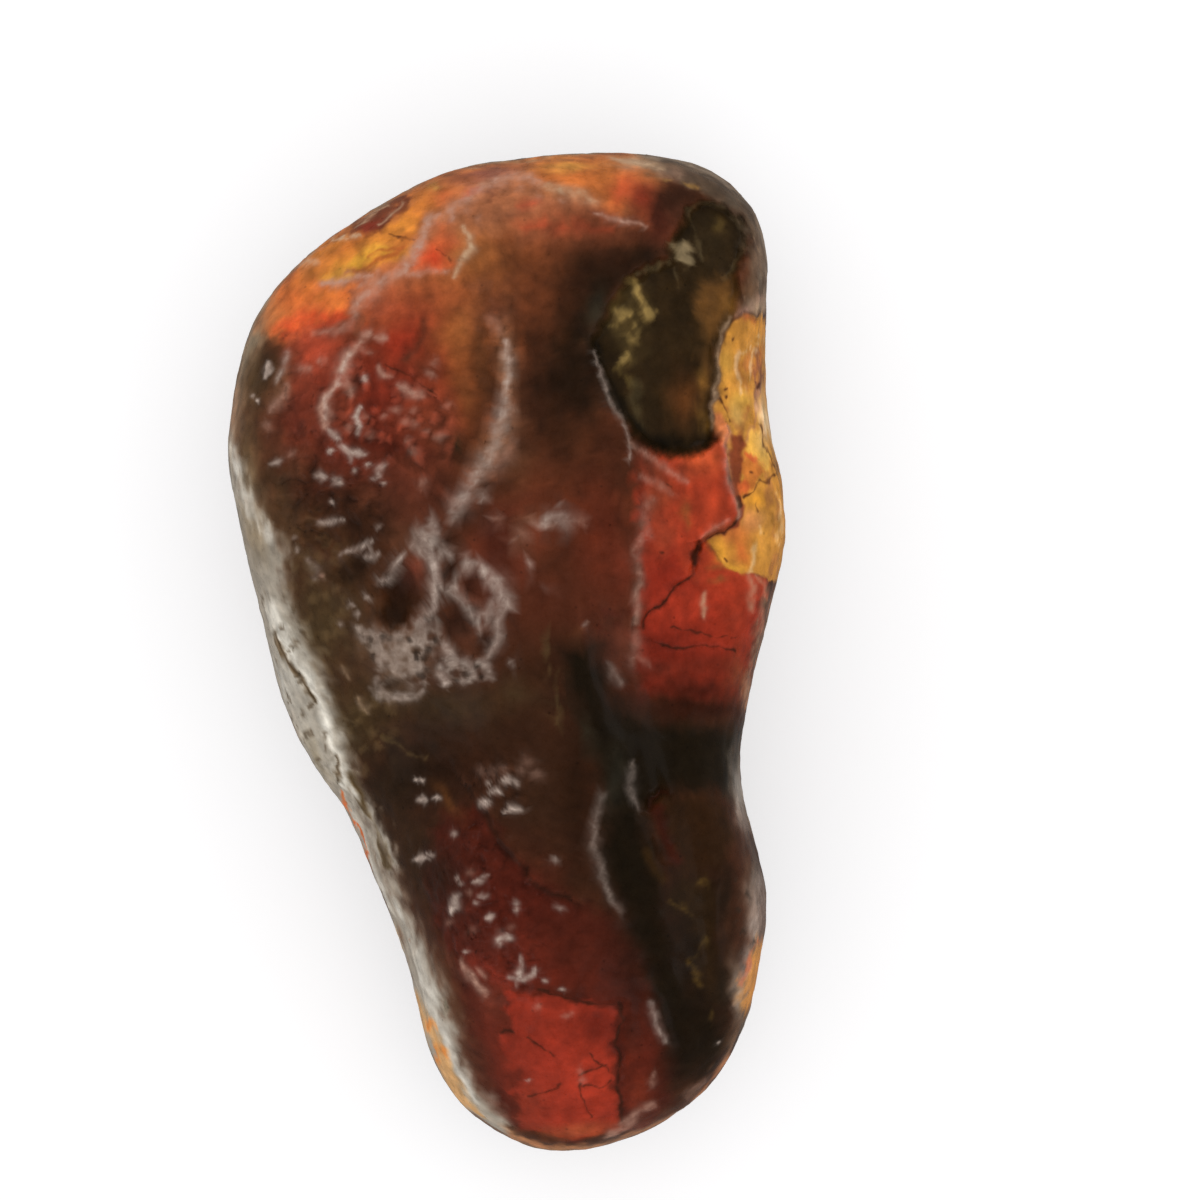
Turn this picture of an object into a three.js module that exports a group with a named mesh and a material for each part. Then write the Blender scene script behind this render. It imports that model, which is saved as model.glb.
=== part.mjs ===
// Rough fire agate: one water-worn chalcedony nodule, lying on its flattest side.
// Millimetres, +Z up. The origin is on the resting surface, under the middle of the nodule,
// and +Y runs along the length, towards the broad end.
import * as THREE from "three";
import { mergeVertices } from "three/addons/utils/BufferGeometryUtils.js";

// ---- Driving dimensions ----
const HALF_WIDTH = 16.7;
const HALF_LENGTH = 30;
const CROWN = 20.6; // height of the upper side before its hills and hollows
const GIRTH = 8.2; // mean height of the widest line round the nodule
const SQUARENESS = 0.52; // exponent of the upper section: 1 is an ellipse, less is flatter and steeper
const UNDER_SQUARENESS = 0.68; // the same for the lower section
const WALL_LEAN = 0.28; // how much rounder the section is where the left wall leans
const WALL_ANGLE = 3.8; // direction of the middle of that wall from the hub, in radians from +X
const BELLY = 0.15; // how high the middle of the belly would be, before its heels are worn flat

// The widest line round the nodule, seen from above, clockwise from the broad end.
const OUTLINE = [
  [5.6, 30.0], [10.4, 29.6], [13.2, 28.4], [15.0, 26.6], [15.7, 23.5], [15.5, 18.8],
  [15.7, 14.3], [16.6, 9.8], [16.7, 6.8], [15.9, 2.9], [14.5, -2.8], [14.0, -7.0],
  [14.6, -10.3], [15.6, -14.2], [15.3, -18.1], [14.4, -22.0], [12.6, -25.6], [9.4, -28.2],
  [5.6, -29.7], [2.6, -30.0], [-0.5, -28.8], [-3.3, -26.5], [-4.7, -23.8], [-5.4, -20.8],
  [-6.4, -17.2], [-8.1, -13.0], [-9.7, -9.3], [-12.0, -6.1], [-13.7, -1.9], [-14.9, 3.0],
  [-15.9, 7.4], [-16.7, 11.9], [-16.4, 15.2], [-15.3, 19.4], [-13.0, 22.8], [-9.9, 25.4],
  [-6.4, 27.5], [-3.3, 29.0], [0.8, 29.7],
];
// A point inside the outline from which all of it can be seen.
const HUB = new THREE.Vector2(1, 1);

// Hills (+) and troughs (-) of the upper side. Each follows a line of points, and its height
// falls off to nothing over about twice its width.
const UPPER_RELIEF = [
  { name: "broad end swell", path: [[-6, 13], [1, 17]], width: 8, height: 0.8 },
  { name: "narrow end fall", path: [[1, -29], [9, -27]], width: 6, height: -2.2 },
  { name: "waist", path: [[-14, -3], [-4, -6], [7, -7.5]], width: 3.6, height: -1.4 },
  { name: "left flank fall", path: [[-16, 2], [-13, -4], [-9.5, -10], [-6.5, -18], [-4, -26]],
    width: 2.4, height: -2.6 },
  { name: "central ridge", path: [[-0.5, 20], [0, 15], [-1, 11.5], [-3.2, 7.5]], width: 1.9, height: 1.2 },
  { name: "brown valley", path: [[3.8, 23], [3.6, 17], [5, 12]], width: 2.4, height: -1.1 },
  { name: "top collar", path: [[-3.6, 24], [-0.5, 26.5], [3.5, 26.8], [8, 25.4]], width: 1.9, height: 0.8 },
  { name: "berry basin", path: [[-8.6, 13.4], [-6, 14]], width: 3.2, height: -0.9 },
  { name: "basin brow", path: [[-8.6, 19], [-10.6, 16.4], [-11, 13.2]], width: 1.8, height: 0.8 },
  { name: "cup brow", path: [[-9, 4], [-6, 1.4], [-2, 0.4]], width: 2.4, height: 0.7 },
  { name: "dark pocket", path: [[12, 24.6], [9.8, 20], [9.6, 16], [10.4, 13.6]], width: 2.9, height: -2.5 },
  { name: "amber ledge", path: [[15, 18], [15, 13], [15.8, 9], [15, 5.6]], width: 2.2, height: -1.1 },
  { name: "amber shoulder", path: [[-7, 26.4], [-10.4, 23.8], [-13.2, 20.6]], width: 2.2, height: -1.0 },
  { name: "plateau edge", path: [[7.4, 11], [7.6, 5], [7.2, 0]], width: 1.8, height: 0.7 },
  { name: "red facet", path: [[11.5, 8], [12, 2]], width: 2.8, height: -1.2 },
  { name: "dark channel", path: [[4.2, -1.5], [6.2, -6], [7.6, -11], [8.8, -16], [10.6, -21]],
    width: 2.7, height: -2.1 },
  { name: "channel bank", path: [[12, -9], [12.6, -15], [12.4, -19]], width: 2.2, height: 0.9 },
  { name: "red flank swell", path: [[-1, -12], [1, -18], [3, -24]], width: 3.2, height: 1.2 },
];

// Hills and troughs of the underside, where a positive height pushes the stone down.
const UNDER_RELIEF = [
  { name: "broad heel", path: [[-7, 14], [6, 18]], width: 6.5, height: 1.3 },
  { name: "narrow heel", path: [[3, -16], [8, -20]], width: 4.5, height: 1.3 },
  { name: "outer heel", path: [[8, 4], [8, -6]], width: 5, height: 1.2 },
  { name: "under hollow", path: [[-12, 0], [-6, -7]], width: 4.2, height: -1.6 },
];

// How many squares the surface has along X, Y and Z, before it is rounded out from a box.
const GRID = { x: 20, y: 34, z: 13 };
// The share of the rounded box's latitudes, in degrees, where the widest line lies: below the
// equator, so that the upper side, which has the finer relief, gets more of the squares.
const GIRTH_LATITUDE = -20;

const INDICES_PER_SQUARE = 6;
const SAMPLES_PER_OUTLINE_POINT = 20;

const stoneColour = new THREE.Color().setRGB(0.33, 0.15, 0.09, THREE.SRGBColorSpace);

// ---- Helpers ----
// Distance in plan from (x, y) to a line of points.
function distanceToPath(x, y, path) {
  const point = new THREE.Vector3(x, y, 0);
  const nearest = new THREE.Vector3();
  const stretch = new THREE.Line3();
  let best = Infinity;
  for (let i = 1; i < path.length; i++) {
    stretch.start.set(path[i - 1][0], path[i - 1][1], 0);
    stretch.end.set(path[i][0], path[i][1], 0);
    stretch.closestPointToPoint(point, true, nearest);
    best = Math.min(best, nearest.distanceTo(point));
  }
  return best;
}

// Sum of the hills and troughs at (x, y).
function reliefHeight(x, y, relief) {
  return relief.reduce((sum, { path, width, height }) => {
    const reach = distanceToPath(x, y, path) / width;
    return sum + height * Math.exp(-reach * reach);
  }, 0);
}

// Distance from the hub to the outline in each direction, read from a smooth closed curve.
function makeOutlineReader() {
  const curve = new THREE.CatmullRomCurve3(
    OUTLINE.map(([x, y]) => new THREE.Vector3(x, y, 0)),
    true,
    "centripetal",
  );
  const samples = curve
    .getPoints(OUTLINE.length * SAMPLES_PER_OUTLINE_POINT)
    .map((p) => new THREE.Vector2(p.x, p.y).sub(HUB))
    .map((p) => ({ angle: Math.atan2(p.y, p.x), radius: p.length() }))
    .sort((a, b) => a.angle - b.angle);
  const first = samples[0];
  const last = samples[samples.length - 1];
  const wrapped = [
    { angle: last.angle - 2 * Math.PI, radius: last.radius },
    ...samples,
    { angle: first.angle + 2 * Math.PI, radius: first.radius },
  ];
  return (angle) => {
    const next = wrapped.findIndex((s) => s.angle > angle);
    const a = wrapped[next - 1];
    const b = wrapped[next];
    return THREE.MathUtils.mapLinear(angle, a.angle, b.angle, a.radius, b.radius);
  };
}
const outlineRadius = makeOutlineReader();

// Height of the widest line: low on the left flank and under the narrow end, high at the broad end.
function girthHeight(angle) {
  return GIRTH + 1.1 * Math.cos(angle - 0.9) + 0.5 * Math.cos(2 * angle + 0.8) + 0.3 * Math.sin(5 * angle);
}

// The point of the nodule's surface for a direction from the middle of a round ball.
function surfacePoint(direction) {
  const girthLatitude = THREE.MathUtils.degToRad(GIRTH_LATITUDE);
  const latitude = Math.asin(THREE.MathUtils.clamp(direction.z, -1, 1));
  const above = latitude > girthLatitude;
  const climb = above
    ? (latitude - girthLatitude) / (Math.PI / 2 - girthLatitude)
    : (girthLatitude - latitude) / (Math.PI / 2 + girthLatitude);
  const angle = Math.atan2(direction.y * HALF_LENGTH, direction.x * HALF_WIDTH);
  const wallLean = WALL_LEAN * Math.max(0, Math.cos(angle - WALL_ANGLE)) ** 2;
  const squareness = above ? SQUARENESS + wallLean : UNDER_SQUARENESS;
  const rise = Math.sin((climb * Math.PI) / 2) ** squareness;
  const reach = Math.cos((climb * Math.PI) / 2) ** squareness;
  const radius = reach * outlineRadius(angle);
  const x = HUB.x + radius * Math.cos(angle);
  const y = HUB.y + radius * Math.sin(angle);
  const girth = girthHeight(angle);
  if (above) {
    const crown = CROWN + reliefHeight(x, y, UPPER_RELIEF);
    return new THREE.Vector3(x, y, girth + (crown - girth) * rise);
  }
  const belly = BELLY - reliefHeight(x, y, UNDER_RELIEF);
  return new THREE.Vector3(x, y, Math.max(0, girth + (belly - girth) * rise));
}

// Splits every square along its shorter diagonal, so that no slope looks sawn.
function splitSquaresShort(geometry) {
  const index = geometry.getIndex();
  const position = geometry.getAttribute("position");
  const corner = (i) => new THREE.Vector3().fromBufferAttribute(position, i);
  for (let first = 0; first < index.count; first += INDICES_PER_SQUARE) {
    // The box gives each square as the triangles (a, b, d) and (b, c, d).
    const [a, b, d, , c] = index.array.slice(first, first + INDICES_PER_SQUARE);
    if (corner(a).distanceTo(corner(c)) < corner(b).distanceTo(corner(d))) {
      index.array.set([a, b, c, a, c, d], first);
    }
  }
}

// A box of squares, blown out evenly to a ball and then drawn to the nodule's surface.
function makeNoduleGeometry() {
  const box = new THREE.BoxGeometry(2, 2, 2, GRID.x, GRID.y, GRID.z);
  box.deleteAttribute("normal");
  box.deleteAttribute("uv");
  const geometry = mergeVertices(box);
  const position = geometry.getAttribute("position");
  const direction = new THREE.Vector3();
  for (let i = 0; i < position.count; i++) {
    direction.fromBufferAttribute(position, i);
    const spread = direction.toArray().map((t) => Math.tan((t * Math.PI) / 4));
    direction.fromArray(spread).normalize();
    position.setXYZ(i, ...surfacePoint(direction).toArray());
  }
  splitSquaresShort(geometry);
  geometry.computeBoundingBox();
  const middle = geometry.boundingBox.getCenter(new THREE.Vector3());
  geometry.translate(-middle.x, -middle.y, 0);
  geometry.computeVertexNormals();
  return geometry;
}

function makeStone() {
  const material = new THREE.MeshStandardMaterial({ color: stoneColour, roughness: 0.35, metalness: 0 });
  const stone = new THREE.Mesh(makeNoduleGeometry(), material);
  stone.name = "agate_nodule";
  return stone;
}

const part = new THREE.Group();
part.add(makeStone());

export default part;
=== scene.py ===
"""Looks of the rough fire agate: its fine skin, its finish, and the studio that it lies in.

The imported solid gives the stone's form and size. A finer copy of it gets the cups, bubbles, ridges, cracks
and broken pockets of the skin, and a finish that follows the stone's layers. Shapes are laid out in
millimetres, with +Y towards the broad end and +X towards the dark pocket, and scaled to metres at the end.
Every length is in millimetres, unless its comment says metres.
"""

import logging
import math
from collections.abc import Sequence
from dataclasses import dataclass, field
from enum import Enum
from functools import cached_property
from itertools import product

import bmesh
import bpy
import numpy as np
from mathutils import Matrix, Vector


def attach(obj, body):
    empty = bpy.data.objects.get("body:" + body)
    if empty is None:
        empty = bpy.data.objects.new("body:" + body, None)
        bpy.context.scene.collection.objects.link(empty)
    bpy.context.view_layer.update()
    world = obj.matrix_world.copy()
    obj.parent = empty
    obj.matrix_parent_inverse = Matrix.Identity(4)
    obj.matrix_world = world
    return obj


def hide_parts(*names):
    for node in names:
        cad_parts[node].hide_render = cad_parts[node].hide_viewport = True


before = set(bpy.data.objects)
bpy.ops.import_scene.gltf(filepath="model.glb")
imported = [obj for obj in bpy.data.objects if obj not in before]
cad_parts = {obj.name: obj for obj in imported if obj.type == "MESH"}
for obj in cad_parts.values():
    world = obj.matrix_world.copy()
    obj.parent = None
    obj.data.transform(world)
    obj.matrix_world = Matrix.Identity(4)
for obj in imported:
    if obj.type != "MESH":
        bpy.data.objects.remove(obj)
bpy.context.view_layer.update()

LOG = logging.getLogger("fire_agate")
MM = 0.001
# Distances beyond this are not told apart.
FAR = 4.0
# How far laid-out places wander all over, and low on the flanks, and the size of each wandering.
WANDER = 0.2
WANDER_SIZE = 1.3
LOW_WANDER = 2.4
LOW_WANDER_SIZE = 5.0
# Heights between which they come to wander more.
LOW_FROM = 13.5
LOW_TO = 9.0
NODE = "agate_nodule"
BODY = "root"

Array = np.ndarray
Socket = bpy.types.NodeSocket
Colour = tuple[float, float, float]
Tone = tuple[int, int, int]
Points = tuple[tuple[float, float], ...]


# ---- Small sums ----


def smoothstep(low: float, high: float, values: Array) -> Array:
    """Eases from 0 at low to 1 at high."""
    share = np.clip((values - low) / (high - low), 0.0, 1.0)
    return share * share * (3.0 - 2.0 * share)


def bell(reach: Array) -> Array:
    """Returns 1 at reach 0, falling smoothly to almost nothing at reach 2."""
    return np.exp(-reach * reach)


def linear(screen: Array) -> Array:
    """Turns screen colours from 0 to 255 into the linear colours that shaders use."""
    shares = np.clip(screen / 255, 0.0, 1.0)
    return np.where(shares <= 0.04045, shares / 12.92, ((shares + 0.055) / 1.055) ** 2.4)


def around(plan: Array, points: Points) -> Array:
    """Returns which places lie in or near the upright box round some points."""
    corners = np.array(points, float)
    return np.all((plan > corners.min(axis=0) - FAR) & (plan < corners.max(axis=0) + FAR), axis=1)


def line_distance(plan: Array, points: Points) -> tuple[Array, Array, Array]:
    """Measures how far places are from a line of points.

    Args:
        plan: Places in plan, one row each.
        points: Corners of the line.

    Returns:
        The distance of each place, at most FAR, the side it lies on, 1 to the left and -1 to
        the right, and how far along the line it is, from 0 to 1.
    """
    near = around(plan, points)
    places = plan[near]
    best = np.full(len(places), FAR)
    side = np.ones(len(places))
    travel = np.zeros(len(places))
    corners = np.array(points, float)
    lengths = np.linalg.norm(np.diff(corners, axis=0), axis=1)
    done = 0.0
    for start, end, length in zip(corners[:-1], corners[1:], lengths):
        run = end - start
        share = np.clip((places - start) @ run / length**2, 0.0, 1.0)
        gap = places - start - share[:, None] * run
        distance = np.hypot(gap[:, 0], gap[:, 1])
        left = np.sign(run[0] * (places[:, 1] - start[1]) - run[1] * (places[:, 0] - start[0]))
        closer = distance < best
        side[closer] = left[closer]
        travel[closer] = (done + share[closer] * length) / lengths.sum()
        best[closer] = distance[closer]
        done += length
    results = np.full(len(plan), FAR), np.ones(len(plan)), np.zeros(len(plan))
    for result, found in zip(results, (best, side, travel)):
        result[near] = found
    return results


class Grain:
    """Seeded noise and cells in space, for what has no place of its own."""

    SIZE = 256
    # Brings the noise up to about -1 to 1.
    LOUDNESS = 1.7
    # Keeps the finer layers from lining up with the coarse ones.
    SHIFT = 17.3

    def __init__(self, seed: int) -> None:
        """Draws the tables of the grain that a seed stands for."""
        draw = np.random.default_rng(seed)
        self.order = draw.permutation(self.SIZE)
        slopes = draw.normal(size=(self.SIZE, 3))
        self.slopes = slopes / np.linalg.norm(slopes, axis=1, keepdims=True)
        self.offsets = draw.uniform(0.1, 0.9, size=(self.SIZE, 3))
        self.values = draw.uniform(size=self.SIZE)

    def pick(self, cell: Array) -> Array:
        """Returns a steady table index for each cell, given as rows of whole numbers."""
        index = np.zeros(len(cell), int)
        for axis in range(cell.shape[1]):
            index = self.order[(index + cell[:, axis]) % self.SIZE]
        return index

    def noise(self, points: Array, size: float, octaves: int = 1) -> Array:
        """Samples smooth noise.

        Args:
            points: Places in space, one row each.
            size: Distance from one lump to the next, in the same unit.
            octaves: How many finer and weaker layers are added up.

        Returns:
            One number for each place, mostly from -1 to 1.
        """
        total = np.zeros(len(points))
        for octave in range(octaves):
            scaled = points * 2**octave / size + self.SHIFT * octave
            cell = np.floor(scaled).astype(int)
            part = scaled - cell
            ease = part**3 * (part * (part * 6 - 15) + 10)
            for corner in product((0, 1), repeat=3):
                slope = self.slopes[self.pick(cell + corner)]
                weight = np.prod(np.where(corner, ease, 1 - ease), axis=1)
                total += weight * np.einsum("ij,ij->i", slope, part - corner) * self.LOUDNESS / 2**octave
        return total

    def cells(self, points: Array, size: float) -> tuple[Array, Array]:
        """Measures how far places are from scattered cell middles.

        Args:
            points: Places in plan or in space, one row each.
            size: Mean distance between middles, in the same unit.

        Returns:
            The distance to the nearest middle, in cell sizes, and a steady random share for its cell.
        """
        scaled = points / size
        cell = np.floor(scaled).astype(int)
        near = np.full(len(points), np.inf)
        share = np.zeros(len(points))
        for step in product((-1, 0, 1), repeat=points.shape[1]):
            index = self.pick(cell + step)
            middle = cell + step + self.offsets[index][:, : points.shape[1]]
            gap = np.linalg.norm(scaled - middle, axis=1)
            share = np.where(gap < near, self.values[index], share)
            near = np.minimum(near, gap)
        return near, share


class GrainSeed(Enum):
    """Seeds of the grains of the skin."""

    RELIEF = 11
    STRAY = 12
    CLOUD = 13
    BUBBLE = 14
    PORE = 15
    LAYER = 16
    ACROSS = 17
    ALONG = 18


@dataclass
class Skin:
    """The skin while it is being worked, with noise that is worked out once for each size.

    Attributes:
        places: One row for each vertex.
        up: How far each vertex belongs to the upper side, from 0 to 1.
        known: Noise that has been worked out.
    """

    places: Array
    up: Array
    known: dict[tuple, Array] = field(default_factory=dict)

    def noise(self, seed: GrainSeed, size: float, octaves: int = 1) -> Array:
        """Returns smooth noise of a size, mostly from -1 to 1."""
        key = (seed, size, octaves)
        if key not in self.known:
            self.known[key] = Grain(seed.value).noise(self.places, size, octaves)
        return self.known[key]

    @cached_property
    def plan(self) -> Array:
        """Returns the places in plan, astray so that no edge runs straight, and more so low down."""
        fine, wide = (
            np.stack([self.noise(seed, size, octaves) for seed in (GrainSeed.ACROSS, GrainSeed.ALONG)], 1)
            for size, octaves in ((WANDER_SIZE, 3), (LOW_WANDER_SIZE, 4))
        )
        low = smoothstep(-LOW_FROM, -LOW_TO, -self.places[:, 2])[:, None]
        return self.places[:, :2] + WANDER * fine + LOW_WANDER * low * wide

    @cached_property
    def astray(self) -> Array:
        """Returns the noise that edges and crests wander by."""
        return self.noise(GrainSeed.STRAY, 0.9, 3)


# ---- Shapes laid over the stone ----

# What is laid over the upper side ends part-way down the flanks.
FLANK_TOP = 12.5
FLANK_WANDER = 1.6
# How the streaks of the skin are drawn out along the stone.
DRAPE_STRETCH = (1.0, 0.4, 0.5)


def below_drape(skin: Skin, drop: float) -> Array:
    """Returns how far each place lies below the end of what is laid over it."""
    return FLANK_TOP - drop + FLANK_WANDER * skin.noise(GrainSeed.STRAY, 3.0, 2) - skin.places[:, 2]


class Shape:
    """A part of the upper side, seen from above."""

    def inside(self, skin: Skin) -> Array:
        """Returns how far inside the shape each place is, negative outside."""
        raise NotImplementedError

    def cover(self, skin: Skin, soft: float, stray: float, drop: float = 0.0) -> Array:
        """Measures how much of each place the shape covers.

        Args:
            skin: The skin it lies on.
            soft: How far its edge fades to each side.
            stray: How far its edge wanders.
            drop: How much further than others it reaches down the flanks.

        Returns:
            A share from 0 to 1 for each place.
        """
        depth = self.inside(skin) - np.maximum(0.0, below_drape(skin, drop))
        if stray:
            depth = depth + stray * skin.astray
        return smoothstep(-soft, soft, depth)

    def fine(self, skin: Skin) -> Array:
        """Returns how far each place is from the shape's edge."""
        return np.abs(self.inside(skin))


@dataclass(frozen=True)
class Trail(Shape):
    """A band that follows a line of points.

    Attributes:
        points: Corners of the line.
        radius: Half the band's width.
    """

    points: Points
    radius: float

    def inside(self, skin: Skin) -> Array:
        """Returns how far inside the band each place is, negative outside."""
        return self.radius - line_distance(skin.plan, self.points)[0]


@dataclass(frozen=True)
class Pool(Shape):
    """An oval.

    Attributes:
        x: Middle across the stone.
        y: Middle along the stone.
        along: Half its length.
        across: Half its width.
        turn: Direction of its length, in degrees from +X.
    """

    x: float
    y: float
    along: float
    across: float
    turn: float = 0.0

    def share(self, plan: Array) -> Array:
        """Returns 0 at the middle and 1 on the oval's edge."""
        angle = math.radians(self.turn)
        dx, dy = plan[:, 0] - self.x, plan[:, 1] - self.y
        u = (dx * math.cos(angle) + dy * math.sin(angle)) / self.along
        v = (dy * math.cos(angle) - dx * math.sin(angle)) / self.across
        return np.hypot(u, v)

    def inside(self, skin: Skin) -> Array:
        """Returns how far inside the oval each place is, negative outside."""
        return (1 - self.share(skin.plan)) * min(self.along, self.across)


@dataclass(frozen=True)
class Patch(Shape):
    """A many-cornered area.

    Attributes:
        points: Its corners in order.
    """

    points: Points

    def inside(self, skin: Skin) -> Array:
        """Returns how far inside the area each place is, negative outside."""
        near = around(skin.plan, self.points)
        across, along = skin.plan[near].T
        odd = np.zeros(len(across), bool)
        for (x0, y0), (x1, y1) in zip(self.points, self.points[1:] + self.points[:1]):
            if y0 != y1:
                crossing = x0 + (along - y0) * (x1 - x0) / (y1 - y0)
                odd ^= ((y0 > along) != (y1 > along)) & (across < crossing)
        within = np.zeros(len(skin.places), bool)
        within[near] = odd
        gap = line_distance(skin.plan, self.points + self.points[:1])[0]
        return np.where(within, gap, -gap)


@dataclass(frozen=True)
class Spots(Shape):
    """Round spots scattered over other shapes.

    Attributes:
        areas: Where the spots are.
        size: Mean distance between spots.
        radius: Mean radius of a spot, as a share of the size.
        fill: Share of the spots that are there.
        fade: Width of the crowd's edge.
        seed: Which scatter it is.
    """

    areas: tuple[Shape, ...]
    size: float
    radius: float = 0.5
    fill: float = 0.85
    fade: float = 1.0
    seed: int = 1

    def inside(self, skin: Skin) -> Array:
        """Returns how far inside the crowd each place is, negative outside."""
        return np.max([area.inside(skin) for area in self.areas], axis=0)

    def cover(self, skin: Skin, soft: float = 0.0, stray: float = 0.0, drop: float = 0.0) -> Array:
        """Returns a dome from 0 to 1 for each spot."""
        bent = skin.plan + 0.2 * self.size * skin.astray[:, None]
        near, share = Grain(self.seed).cells(bent, self.size)
        reach = near / (self.radius * (0.7 + 0.6 * share))
        dome = np.sqrt(np.clip(1 - reach**2, 0, 1)) * (share > 1 - self.fill)
        return dome * smoothstep(-self.fade / 2, self.fade / 2, self.inside(skin))


def cover_any(skin: Skin, shapes: Sequence[Shape], soft: float, stray: float, drop: float = 0.0) -> Array:
    """Returns the share of each place that any of several shapes covers."""
    return np.max([shape.cover(skin, soft, stray, drop) for shape in shapes], axis=0)


# ---- Outlines that more than one thing follows ----

DARK_POCKET = Patch((
    (8, 22.7), (7.4, 22.2), (6.9, 21.3), (6.3, 20.6), (5.6, 19.6), (5.2, 18.4), (5.5, 17.2), (6.1, 15.8),
    (6.7, 14.3), (7.6, 13.1), (8.6, 12.4), (9.6, 11.9), (10.6, 11.8), (11.6, 12.3), (12.5, 12.8),
    (12.1, 13.7), (12.3, 14.9), (12.6, 16.4), (12.5, 18), (12.9, 19), (13.6, 20.1), (14, 21.3),
    (13.6, 22.6), (14.2, 23.8), (14.3, 25), (13.9, 26.1), (13, 26.9), (11.8, 26.9), (10.9, 26.4),
    (10.3, 25.4), (9.8, 24.4), (9.7, 23.6), (8.8, 23.1),
))
AMBER_SIDE = Patch((
    (14, 20.1), (13.2, 19.4), (12.9, 18.4), (12.7, 17), (12.6, 15.4), (12.2, 14.4), (12.4, 13.6),
    (13, 13.6), (13.2, 12.2), (13.5, 10.4), (14.1, 9.1), (14, 8.2), (13.6, 7.5), (12.1, 6.8),
    (12.2, 6.2), (13, 5.3), (14, 4.8), (15, 4.8), (16.2, 4.2), (18.5, 4.2), (18.5, 20), (15.4, 20.2),
))
AMBER_TOP = Patch((
    (-10.1, 24.8), (-8.2, 24.95), (-7.2, 25.3), (-6.9, 25.6), (-6.1, 26.2), (-5.6, 26.5), (-5.3, 26.2),
    (-5.2, 25.2), (-5.5, 24.7), (-5.6, 24), (-6.2, 23.4), (-7.5, 23.2), (-8.9, 22.9), (-9.8, 22.4),
    (-10.6, 22), (-11.6, 22.2), (-12, 22.8), (-11.2, 23.3), (-11.3, 24), (-10.8, 24.4),
))
RED_EDGE = (
    (9.6, 11.7), (10.6, 11.6), (12.6, 12.8), (13.1, 12.6), (13.2, 11.2), (13.4, 10), (13.9, 9), (14, 8.2),
    (13.6, 7.5), (12.1, 6.8), (12.1, 6.2), (12.9, 5.3), (14, 4.8),
)
RED_PLATE = Patch((
    (8.2, 12.6), *RED_EDGE, (15.4, 4.5),
    (15.4, 2), (14.8, 0.4), (14.3, -2.4), (11.5, -3), (8.2, -2.2), (8.1, 0.8), (8, 3.2), (8, 5.6),
    (7.9, 8), (8, 10.4), (7.8, 11.8),
))
RED_PLATE_TOP = Patch((
    (8.4, 12.6), *RED_EDGE, (15.6, 4.5),
    (15.6, 3.4), (14, 3), (12, 3.6), (10.6, 4.8), (9.8, 6.4), (9.4, 8.6), (9.2, 10.4), (8.6, 11.6),
))
END_PLATE = Patch((
    (0, -20.2), (2.2, -20.2), (3.6, -20.6), (5, -20.9), (6.5, -20.9), (6.7, -21.4), (6.4, -22.4),
    (6.5, -23.2), (6.3, -24.2), (6.5, -25.8), (6.6, -27.2), (7, -28.2), (5.2, -29), (2.6, -29.2),
    (0.6, -28.6), (0.9, -27.2), (0.5, -26), (1.1, -25.4), (0.5, -24.4), (-0.1, -23.4), (-0.2, -22.8),
    (0.7, -22.8), (0.4, -22), (0.1, -21.2),
))
LOWER_RED = Patch((
    (-4.4, -10.4), (-3.1, -9.2), (-1.9, -8.8), (-1, -9.9), (-0.2, -11), (0.6, -12.1), (1.6, -13.3),
    (2.8, -14.1), (4.4, -14.8), (6.2, -15.8), (7.4, -17.6), (8.4, -19.8), (9.4, -22.4), (10.2, -24.4),
    (9.6, -26.6), (8, -28.4), (4, -29.6), (0, -28), (-1.8, -25.6), (-2.2, -23), (-2.6, -20.6),
    (-3, -18.4), (-4.2, -15.8), (-4.8, -13.4),
))
BERRY_BASIN = Patch((
    (-9, 17.6), (-6.4, 17), (-4, 15.8), (-3.1, 14.4), (-3, 12), (-4.6, 10.4), (-7.4, 11.4),
    (-9.8, 12.6), (-10.4, 14.2), (-9.8, 16.4),
))
FOAM = Patch((
    (-9, 1.7), (-7.9, 1.6), (-7.2, 1.1), (-6.5, 0.95), (-5.9, 1.1), (-5.4, 1.7), (-5, 2.1), (-4.7, 2.4),
    (-4.2, 2.2), (-3.95, 1.5), (-4.1, 0.5), (-4.4, -0.2), (-4.5, -1), (-4.7, -1.7), (-5, -1.8),
    (-5.8, -1.4), (-6.4, -1.25), (-7, -1), (-7.6, -0.5), (-8.2, 0.2), (-8.7, 0.9),
))
WALL = Patch((
    (-16.5, 13.4), (-16.2, 12), (-15.6, 10), (-14.4, 8), (-13.2, 6.2), (-13.1, 4), (-12.6, 2.4),
    (-12, 1.2), (-11.4, 0), (-10.9, -1.4), (-10.5, -2.6), (-10, -3.8), (-9.8, -4.6), (-9.3, -6),
    (-8.9, -7.6), (-8.1, -9.4), (-7.4, -10.8), (-6.8, -12.4), (-6.3, -14), (-5.6, -16), (-4.6, -17.8),
    (-3.7, -20.2), (-3, -22.6), (-2.7, -24.4), (-1.6, -26), (0.2, -28), (0, -31), (-6, -28),
    (-9, -18), (-14, -8), (-18, 2), (-18, 12),
))
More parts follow.
